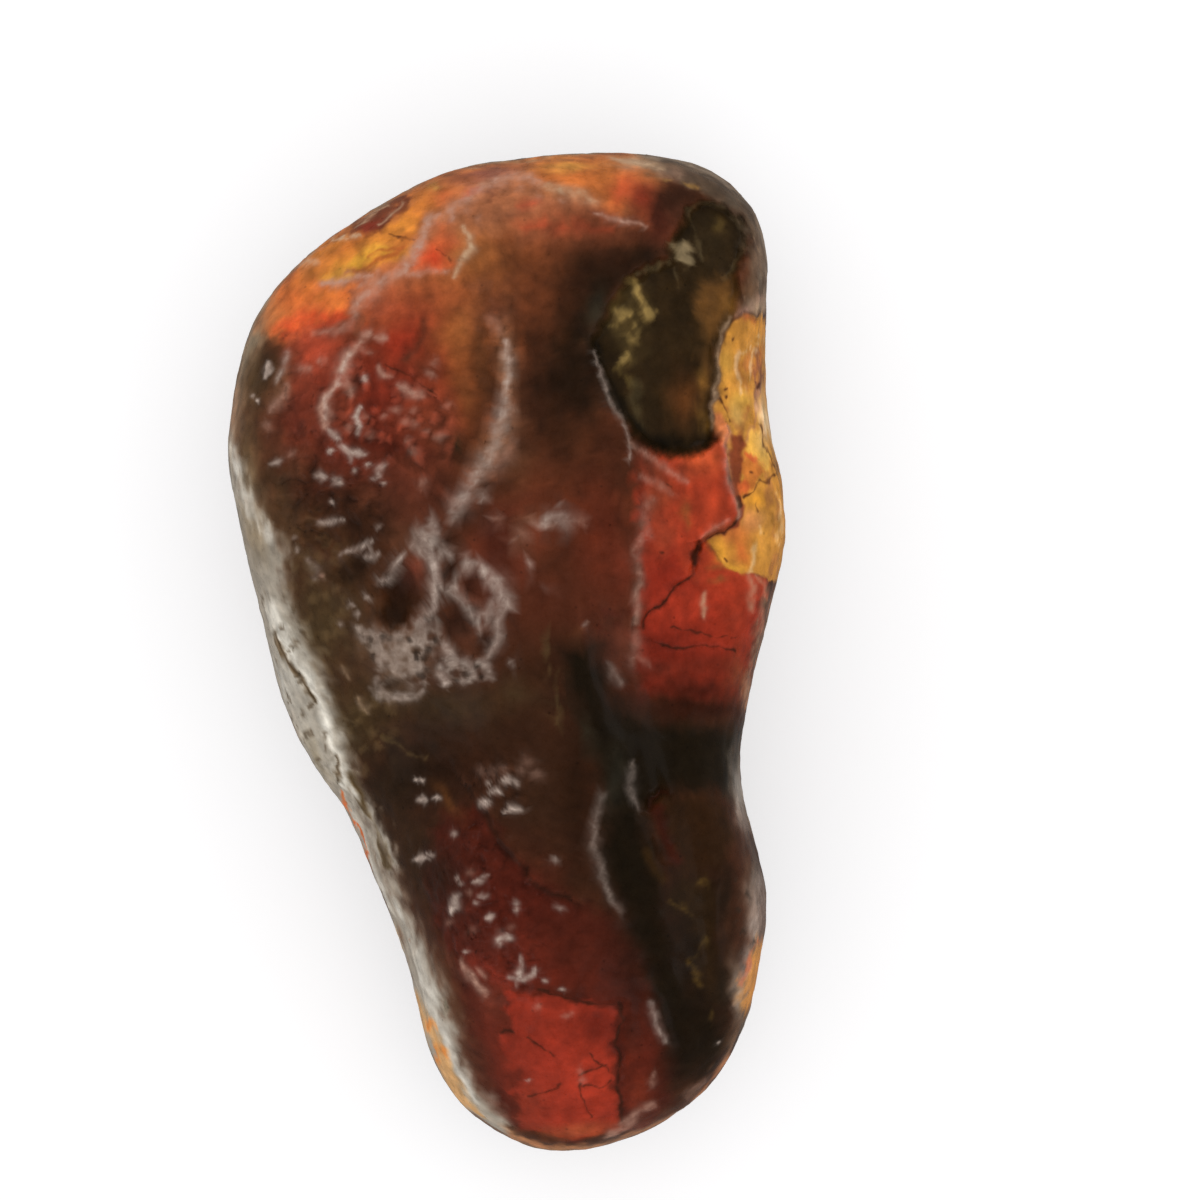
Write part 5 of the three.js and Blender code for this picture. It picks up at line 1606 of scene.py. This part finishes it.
@dataclass
class Nodule:
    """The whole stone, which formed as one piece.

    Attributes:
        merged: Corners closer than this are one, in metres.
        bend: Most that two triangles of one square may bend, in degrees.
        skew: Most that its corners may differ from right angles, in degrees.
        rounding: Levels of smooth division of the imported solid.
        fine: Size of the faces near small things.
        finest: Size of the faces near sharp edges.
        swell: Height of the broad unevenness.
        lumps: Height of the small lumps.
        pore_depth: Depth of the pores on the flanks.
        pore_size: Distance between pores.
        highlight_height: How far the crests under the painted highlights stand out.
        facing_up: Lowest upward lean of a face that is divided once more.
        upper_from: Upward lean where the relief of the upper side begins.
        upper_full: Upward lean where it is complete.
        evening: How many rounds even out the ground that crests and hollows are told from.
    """

    merged: float = 1e-6
    bend: float = 50.0
    skew: float = 60.0
    rounding: int = 2
    fine: float = 0.22
    finest: float = 0.11
    swell: float = 0.1
    lumps: float = 0.035
    pore_depth: float = 0.1
    pore_size: float = 0.9
    highlight_height: float = 0.07
    facing_up: float = 0.2
    upper_from: float = 0.12
    upper_full: float = 0.4
    evening: int = 8

    def build(self) -> bpy.types.Object:
        """Builds the stone and dresses it.

        Returns:
            The stone, riding on the part's body.
        """
        mesh = self.rounded_copy()
        self.refine(mesh, self.fine)
        self.refine(mesh, self.finest)
        self.carve(mesh)
        stone = bpy.data.objects.new("fire_agate_stone", mesh)
        bpy.context.scene.collection.objects.link(stone)
        mesh.materials.append(AgateFinish().material())
        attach(stone, BODY)
        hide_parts(NODE)
        LOG.info("%s: %d faces", stone.name, len(mesh.polygons))
        return stone

    def rounded_copy(self) -> bpy.types.Mesh:
        """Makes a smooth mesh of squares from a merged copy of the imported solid.

        Returns:
            The mesh, in metres.
        """
        form = bmesh.new()
        form.from_mesh(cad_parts[NODE].data)
        bmesh.ops.remove_doubles(form, verts=form.verts[:], dist=self.merged)
        bmesh.ops.join_triangles(
            form,
            faces=form.faces[:],
            angle_face_threshold=math.radians(self.bend),
            angle_shape_threshold=math.radians(self.skew),
        )
        coarse = bpy.data.meshes.new("form")
        form.to_mesh(coarse)
        form.free()
        holder = bpy.data.objects.new("form", coarse)
        bpy.context.scene.collection.objects.link(holder)
        rounding = holder.modifiers.new("rounding", "SUBSURF")
        rounding.levels = rounding.render_levels = self.rounding
        view_layer = bpy.context.evaluated_depsgraph_get()
        smooth = bpy.data.meshes.new_from_object(holder.evaluated_get(view_layer))
        bpy.data.objects.remove(holder)
        bpy.data.meshes.remove(coarse)
        smooth.name = "fire_agate_stone"
        return smooth

    def refine(self, mesh: bpy.types.Mesh, size: float) -> None:
        """Divides the faces of the upper side near things that need smaller ones.

        Args:
            mesh: The mesh, changed in place.
            size: Size of the faces that are wanted.
        """
        centres = read_vectors(mesh.polygons, "center") / MM
        normals = read_vectors(mesh.polygons, "normal")
        upward = normals[:, 2] > self.facing_up
        chosen = upward & self.wants(Skin(centres, upward), size)
        skin = bmesh.new()
        skin.from_mesh(mesh)
        skin.faces.ensure_lookup_table()
        faces = [skin.faces[index] for index in np.flatnonzero(chosen)]
        edges = {edge for face in faces for edge in face.edges}
        made = bmesh.ops.subdivide_edges(skin, edges=list(edges), cuts=1, use_grid_fill=True)
        fresh = {item for item in made["geom_inner"] if isinstance(item, bmesh.types.BMVert)}
        for _ in range(2):
            bmesh.ops.smooth_vert(
                skin, verts=list(fresh), factor=0.5, use_axis_x=True, use_axis_y=True, use_axis_z=True
            )
        skin.to_mesh(mesh)
        skin.free()
        mesh.update()

    def wants(self, skin: Skin, size: float) -> Array:
        """Finds the faces that have to be at most a given size.

        Args:
            skin: Middles of the faces.
            size: The most they may measure.

        Returns:
            True for each face that has to be that small.
        """
        # The softest edge and the widest line that count, and how far round them faces have to be small.
        edge_soft, thin, margin = (0.3, 0.4, 0.3) if size > self.finest else (0.15, 0.13, 0.12)
        wanted = np.zeros(len(skin.places), bool)
        for layer in LAYERS:
            if isinstance(layer, Wash) and layer.soft <= edge_soft:
                for shape in layer.shapes:
                    wanted |= shape.fine(skin) < margin
        for glint in PAINTED_HIGHLIGHTS:
            if glint.radius <= thin:
                wanted |= line_distance(skin.plan, glint.points)[0] < glint.radius + 0.5 * margin
        for cut in CRACKS:
            if cut.radius <= thin:
                wanted |= line_distance(skin.plan, cut.points)[0] < cut.radius + margin
        if size > self.finest:
            for feature in RELIEF:
                if isinstance(feature, Crest) and feature.width <= thin:
                    wanted |= line_distance(skin.plan, feature.points)[0] < feature.width + margin
                elif isinstance(feature, Bumps):
                    wanted |= feature.spots.inside(skin) > 0
        return wanted

    def carve(self, mesh: bpy.types.Mesh) -> None:
        """Gives the skin its relief, and writes the layers of the finish on it.

        Args:
            mesh: The mesh, changed in place.
        """
        places = read_vectors(mesh.vertices, "co") / MM
        normals = read_vectors(mesh.vertices, "normal")
        skin = Skin(places, smoothstep(self.upper_from, self.upper_full, normals[:, 2]))
        relief = sum(feature.rise(skin) for feature in RELIEF)
        paint = Paint()
        # Painted highlights: their strength and colour; their crests are also raised a little.
        painted_highlight, highlight_tone = paint.painted_highlight(skin)
        relief = (relief + self.highlight_height * painted_highlight) * skin.up
        resting = smoothstep(0.0, 0.6, places[:, 2])
        rough = self.unevenness(skin) * resting
        carved = places + rough[:, None] * normals
        carved[:, 2] += relief
        carved[:, 2] = np.maximum(carved[:, 2], 0.0)
        mesh.vertices.foreach_set("co", (carved * MM).ravel())
        mesh.polygons.foreach_set("use_smooth", np.ones(len(mesh.polygons), bool))
        mesh.update()
        height = relief + rough
        crest = height - spread_out(mesh, height, self.evening)
        write_tones(mesh, "tone", paint.paint(skin, crest))
        # Colour and strength of the painted highlights.
        write_tones(mesh, "highlight_tone", highlight_tone)
        write_values(mesh, "painted_highlight", painted_highlight)
        gloss = np.full(len(places), GLOSS)
        for level, soft, shapes in POLISHED:
            gloss += cover_any(skin, shapes, soft, 0.15) * (level - gloss)
        write_values(mesh, "gloss", gloss)

    def unevenness(self, skin: Skin) -> Array:
        """Adds up the unevenness that has no place of its own.

        Args:
            skin: The skin before it is carved.

        Returns:
            How far each place moves outwards.
        """
        swell = self.swell * skin.noise(GrainSeed.RELIEF, 4.0, 3)
        lumps = self.lumps * skin.noise(GrainSeed.RELIEF, 0.9, 2)
        near, share = Grain(GrainSeed.PORE.value).cells(skin.places, self.pore_size)
        pores = -self.pore_depth * bell(near / (0.12 + 0.16 * share)) * (1 - 0.8 * skin.up)
        return swell + lumps + pores


def read_vectors(items: bpy.types.bpy_prop_collection, name: str) -> Array:
    """Reads one vector of each item as rows.

    Args:
        items: Vertices or faces.
        name: The vector's name.

    Returns:
        One row for each item.
    """
    values = np.empty(len(items) * 3)
    items.foreach_get(name, values)
    return values.reshape(-1, 3)


def write_values(mesh: bpy.types.Mesh, name: str, values: Array) -> None:
    """Stores one number for each vertex under a name."""
    layer = mesh.attributes.new(name, "FLOAT", "POINT")
    layer.data.foreach_set("value", values.astype(np.float32))


def write_tones(mesh: bpy.types.Mesh, name: str, tones: Array) -> None:
    """Stores one screen colour for each vertex under a name."""
    layer = mesh.color_attributes.new(name, "FLOAT_COLOR", "POINT")
    opaque = np.ones((len(tones), 1))
    layer.data.foreach_set("color", np.hstack((linear(tones), opaque)).astype(np.float32).ravel())


def spread_out(mesh: bpy.types.Mesh, values: Array, rounds: int) -> Array:
    """Evens out numbers over neighbouring vertices.

    Args:
        mesh: The mesh that the numbers belong to.
        values: One number for each vertex.
        rounds: How often each vertex takes its neighbours' mean.

    Returns:
        The evened-out numbers.
    """
    ends = np.empty(len(mesh.edges) * 2, int)
    mesh.edges.foreach_get("vertices", ends)
    first, second = ends.reshape(-1, 2).T
    count = np.bincount(ends, minlength=len(values))
    for _ in range(rounds):
        total = np.bincount(first, values[second], len(values))
        total += np.bincount(second, values[first], len(values))
        values = (values + total) / (count + 1)
    return values


# ---- Finish ----


class Wire:
    """A shader socket or a plain number that takes part in sums."""

    def __init__(self, tree: "ShaderTree", value: "Socket | float") -> None:
        """Wraps a socket or a number of one tree."""
        self.tree = tree
        self.value = value

    def combine(self, operation: str, *others: "Wire | float") -> "Wire":
        """Adds a Math node that works on this value and others.

        Args:
            operation: The Math node's operation.
            *others: Its other inputs.

        Returns:
            The result.
        """
        inputs = dict(enumerate((self, *others)))
        node = self.tree.node("ShaderNodeMath", {"operation": operation}, inputs)
        return Wire(self.tree, node.outputs[0])

    def __add__(self, other: "Wire | float") -> "Wire":
        """Returns the sum."""
        return self.combine("ADD", other)

    def __sub__(self, other: "Wire | float") -> "Wire":
        """Returns the difference."""
        return self.combine("SUBTRACT", other)

    def __rsub__(self, other: float) -> "Wire":
        """Returns the difference from a number."""
        return Wire(self.tree, other).combine("SUBTRACT", self)

    def __mul__(self, other: "Wire | float") -> "Wire":
        """Returns the product."""
        return self.combine("MULTIPLY", other)

    def ramp(self, low: float, high: float) -> "Wire":
        """Eases from 0 at low to 1 at high.

        Args:
            low: Where the rise starts.
            high: Where the rise ends.

        Returns:
            A value from 0 to 1.
        """
        node = self.tree.node(
            "ShaderNodeMapRange",
            {"interpolation_type": "SMOOTHSTEP"},
            {"Value": self, "From Min": low, "From Max": high},
        )
        return Wire(self.tree, node.outputs["Result"])


Input = Wire | float | Colour | Socket


class ShaderTree:
    """Builds the nodes of one material or world."""

    def __init__(self, tree: bpy.types.NodeTree) -> None:
        """Clears a node tree to build in."""
        self.tree = tree
        tree.nodes.clear()

    def node(
        self,
        kind: str,
        settings: dict[str, object] | None = None,
        inputs: dict[int | str, Input] | None = None,
    ) -> bpy.types.Node:
        """Adds a node.

        Args:
            kind: The node's type.
            settings: Properties that are set first.
            inputs: Values or links of its sockets, by name or number.

        Returns:
            The node.
        """
        made = self.tree.nodes.new(kind)
        for name, value in (settings or {}).items():
            setattr(made, name, value)
        for name, value in (inputs or {}).items():
            source = value.value if isinstance(value, Wire) else value
            if isinstance(source, Socket):
                self.tree.links.new(source, made.inputs[name])
            elif isinstance(source, tuple) and made.inputs[name].type == "RGBA":
                made.inputs[name].default_value = (*source, 1.0)
            else:
                made.inputs[name].default_value = source
        return made

    def value(self, name: str) -> Wire:
        """Returns the number that the mesh keeps under a name."""
        return Wire(self, self.node("ShaderNodeAttribute", {"attribute_name": name}).outputs["Fac"])

    def tone(self, name: str) -> Socket:
        """Returns the colour that the mesh keeps under a name."""
        return self.node("ShaderNodeAttribute", {"attribute_name": name}).outputs["Color"]

    def scale(self, colour: Socket, factor: Wire) -> Socket:
        """Makes a colour lighter or darker."""
        inputs = {0: colour, "Scale": factor}
        return self.node("ShaderNodeVectorMath", {"operation": "SCALE"}, inputs).outputs[0]

    def mix(self, share: Input, first: Input, second: Input) -> Socket:
        """Blends two colours."""
        return self.node("ShaderNodeMix", {"data_type": "RGBA"}, {0: share, 6: first, 7: second}).outputs[2]

    def place(self) -> Socket:
        """Returns the place on the piece."""
        return self.node("ShaderNodeTexCoord").outputs["Object"]

    def noise(self, place: Socket, size: float, detail: float = 2.0, twist: float = 0.0) -> Wire:
        """Adds smooth noise."""
        inputs = {"Vector": place, "Scale": 1 / (size * MM), "Detail": detail, "Distortion": twist}
        return Wire(self, self.node("ShaderNodeTexNoise", {}, inputs).outputs[0])

    def cells(self, place: Socket, size: float) -> Wire:
        """Adds scattered cells."""
        inputs = {"Vector": place, "Scale": 1 / (size * MM)}
        return Wire(self, self.node("ShaderNodeTexVoronoi", {"feature": "F1"}, inputs).outputs["Distance"])


@dataclass(frozen=True)
class AgateFinish:
    """Waxy chalcedony whose layers show as brown, olive, red and amber.

    Attributes:
        roughness: Of the skin.
        roughness_play: How much the roughness comes and goes.
        specular: Level of the surface's reflection.
        coat_roughness: Of the natural polish.
        refraction: Index of chalcedony.
        mottle: How much light and dark the fine grain has.
        grain: How much light and dark the finest grain has.
        highlight_share: How much of the painted highlight's colour the strongest highlights take.
        highlight_fray: How uneven the painted highlights are.
        speck: How dark the specks are.
        bump: Depth of the finest relief.
    """

    roughness: float = 0.3
    roughness_play: float = 0.25
    specular: float = 0.08
    coat_roughness: float = 0.15
    refraction: float = 1.54
    mottle: float = 0.1
    grain: float = 0.06
    highlight_share: float = 0.95
    highlight_fray: float = 0.75
    speck: float = 0.3
    bump: float = 0.02

    def material(self) -> bpy.types.Material:
        """Makes the material.

        Returns:
            The finished material.
        """
        made = bpy.data.materials.new("fire_agate")
        made.use_nodes = True
        tree = ShaderTree(made.node_tree)
        place = tree.place()
        fine = tree.noise(place, 0.5, 4.0, 0.4)
        grain = tree.noise(place, 0.16, 2.0)
        fibre = tree.noise(place, 0.5, 3.0, 1.0)
        specks = 1 - tree.cells(place, 0.85).ramp(0.06, 0.14)
        specks = specks * tree.noise(place, 2.4, 2.0).ramp(0.45, 0.6)
        light = (fine - 0.5) * (4 * self.mottle) + (grain - 0.5) * (4 * self.grain) + 1 - specks * self.speck
        skin = tree.scale(tree.tone("tone"), light)
        # Painted highlights: their colour is mixed over the skin where their strength is high, and they raise
        # the finest relief a little.
        painted_highlight = tree.value("painted_highlight") * ((fibre - 0.5) * self.highlight_fray + 1)
        colour = tree.mix(painted_highlight * (painted_highlight * 0.7 + 0.22) * self.highlight_share, skin, tree.tone("highlight_tone"))
        roughness = (fine - 0.5) * self.roughness_play + self.roughness
        height = fine + grain * 0.35 + painted_highlight * 0.5
        inputs = {"Strength": 1.0, "Distance": self.bump * MM, "Height": height}
        bump = tree.node("ShaderNodeBump", {}, inputs)
        surface = tree.node(
            "ShaderNodeBsdfPrincipled",
            {},
            {
                "Base Color": colour,
                "Roughness": roughness,
                "IOR": self.refraction,
                "Specular IOR Level": self.specular,
                "Coat Weight": tree.value("gloss"),
                "Coat Roughness": self.coat_roughness,
                "Normal": bump.outputs["Normal"],
            },
        )
        tree.node("ShaderNodeOutputMaterial", {}, {"Surface": surface.outputs[0]})
        return made


# ---- Studio ----


@dataclass(frozen=True)
class SoftLight:
    """A soft box that faces the stone.

    Attributes:
        name: Where it stands.
        azimuth: Its direction, in degrees from +X towards +Y.
        lean: How far it stands from straight above, in degrees.
        size: Its width, in metres.
        power: In watts.
    """

    name: str
    azimuth: float
    lean: float
    size: float
    power: float


@dataclass
class Studio:
    """A pale table under soft light, seen from straight above.

    Attributes:
        view_width: Width of the table that the camera takes in, in metres.
        camera_height: In metres.
        aim: Point under the camera, in metres.
        focus_height: Height at which view_width holds, in metres.
        light_distance: From the stone to each soft box, in metres.
        floor_half: Half the table's width, in metres.
        light_all_round: Colour of the even light.
        mirrored_low: Colour of the room that gloss mirrors, near the table.
        mirrored_high: The same, overhead.
        lights: The soft boxes that gloss mirrors.
    """

    view_width: float = 0.072
    camera_height: float = 1.2
    aim: tuple[float, float] = (0.00561, 0.00321)
    focus_height: float = 0.009
    light_distance: float = 0.5
    floor_half: float = 1.5
    light_all_round: Colour = (0.97, 0.97, 0.97)
    mirrored_low: Colour = (0.15, 0.15, 0.15)
    mirrored_high: Colour = (0.03, 0.03, 0.03)
    lights: Sequence[SoftLight] = field(
        default_factory=lambda: (
            SoftLight("sheen_left", 205, 62, 0.34, 0.12),
            SoftLight("sheen_front", 240, 50, 0.2, 0.08),
            SoftLight("sheen_back", 100, 60, 0.2, 0.08),
            SoftLight("sheen_right", -30, 62, 0.2, 0.05),
        )
    )

    def build(self) -> None:
        """Sets up the camera, the table and the lights."""
        self.camera()
        self.floor()
        self.surroundings()
        for light in self.lights:
            self.soft_light(light)
        bpy.context.scene.view_settings.view_transform = "Standard"

    def camera(self) -> None:
        """Hangs the camera straight above, with +Y up in its view."""
        data = bpy.data.cameras.new("camera")
        data.lens = data.sensor_width * (self.camera_height - self.focus_height) / self.view_width
        data.clip_start, data.clip_end = 0.01, 10.0
        camera = bpy.data.objects.new("camera", data)
        camera.location = (*self.aim, self.camera_height)
        bpy.context.scene.collection.objects.link(camera)
        bpy.context.scene.camera = camera

    def floor(self) -> None:
        """Lays the pale table under the stone."""
        plane = bmesh.new()
        bmesh.ops.create_grid(plane, x_segments=1, y_segments=1, size=self.floor_half)
        mesh = bpy.data.meshes.new("table_top")
        plane.to_mesh(mesh)
        plane.free()
        mesh.materials.append(TableFinish().material())
        table = bpy.data.objects.new("table_top", mesh)
        bpy.context.scene.collection.objects.link(table)
        table.visible_glossy = False

    def surroundings(self) -> None:
        """Makes a room of even light, which gloss mirrors as pale low down and dim overhead."""
        world = bpy.data.worlds.new("room")
        world.use_nodes = True
        bpy.context.scene.world = world
        tree = ShaderTree(world.node_tree)
        direction = tree.node("ShaderNodeTexCoord").outputs["Generated"]
        height = tree.node("ShaderNodeSeparateXYZ", {}, {"Vector": direction}).outputs["Z"]
        overhead = Wire(tree, height).ramp(0.1, 0.8)
        mirrored = tree.mix(overhead, self.mirrored_low, self.mirrored_high)
        glossy = tree.node("ShaderNodeLightPath").outputs["Is Glossy Ray"]
        colour = tree.mix(glossy, self.light_all_round, mirrored)
        background = tree.node("ShaderNodeBackground", {}, {"Color": colour, "Strength": 1.0})
        tree.node("ShaderNodeOutputWorld", {}, {"Surface": background.outputs[0]})

    def soft_light(self, light: SoftLight) -> None:
        """Places one soft box.

        Args:
            light: What to place.
        """
        data = bpy.data.lights.new(light.name, "AREA")
        data.shape = "DISK"
        data.size = light.size
        data.energy = light.power
        lamp = bpy.data.objects.new(light.name, data)
        lamp.visible_diffuse = False
        azimuth, lean = math.radians(light.azimuth), math.radians(light.lean)
        out = Vector((math.cos(azimuth) * math.sin(lean), math.sin(azimuth) * math.sin(lean), math.cos(lean)))
        lamp.location = out * self.light_distance
        lamp.rotation_euler = out.to_track_quat("Z", "Y").to_euler()
        bpy.context.scene.collection.objects.link(lamp)


@dataclass(frozen=True)
class TableFinish:
    """Matt white board that is lit a little from below.

    Attributes:
        colour: Of the board.
        lit: Strength of the light from below.
    """

    colour: Colour = (0.62, 0.62, 0.63)
    lit: float = 0.5

    def material(self) -> bpy.types.Material:
        """Makes the material.

        Returns:
            The finished material.
        """
        made = bpy.data.materials.new("white_board")
        made.use_nodes = True
        tree = ShaderTree(made.node_tree)
        surface = tree.node(
            "ShaderNodeBsdfPrincipled",
            {},
            {
                "Base Color": self.colour,
                "Roughness": 0.9,
                "Specular IOR Level": 0.0,
                "Emission Color": (1.0, 1.0, 1.0),
                "Emission Strength": self.lit,
            },
        )
        tree.node("ShaderNodeOutputMaterial", {}, {"Surface": surface.outputs[0]})
        return made


def main() -> None:
    """Builds the stone and its studio."""
    logging.basicConfig(level=logging.INFO, format="%(message)s")
    Nodule().build()
    Studio().build()


if __name__ == "__main__":
    main()
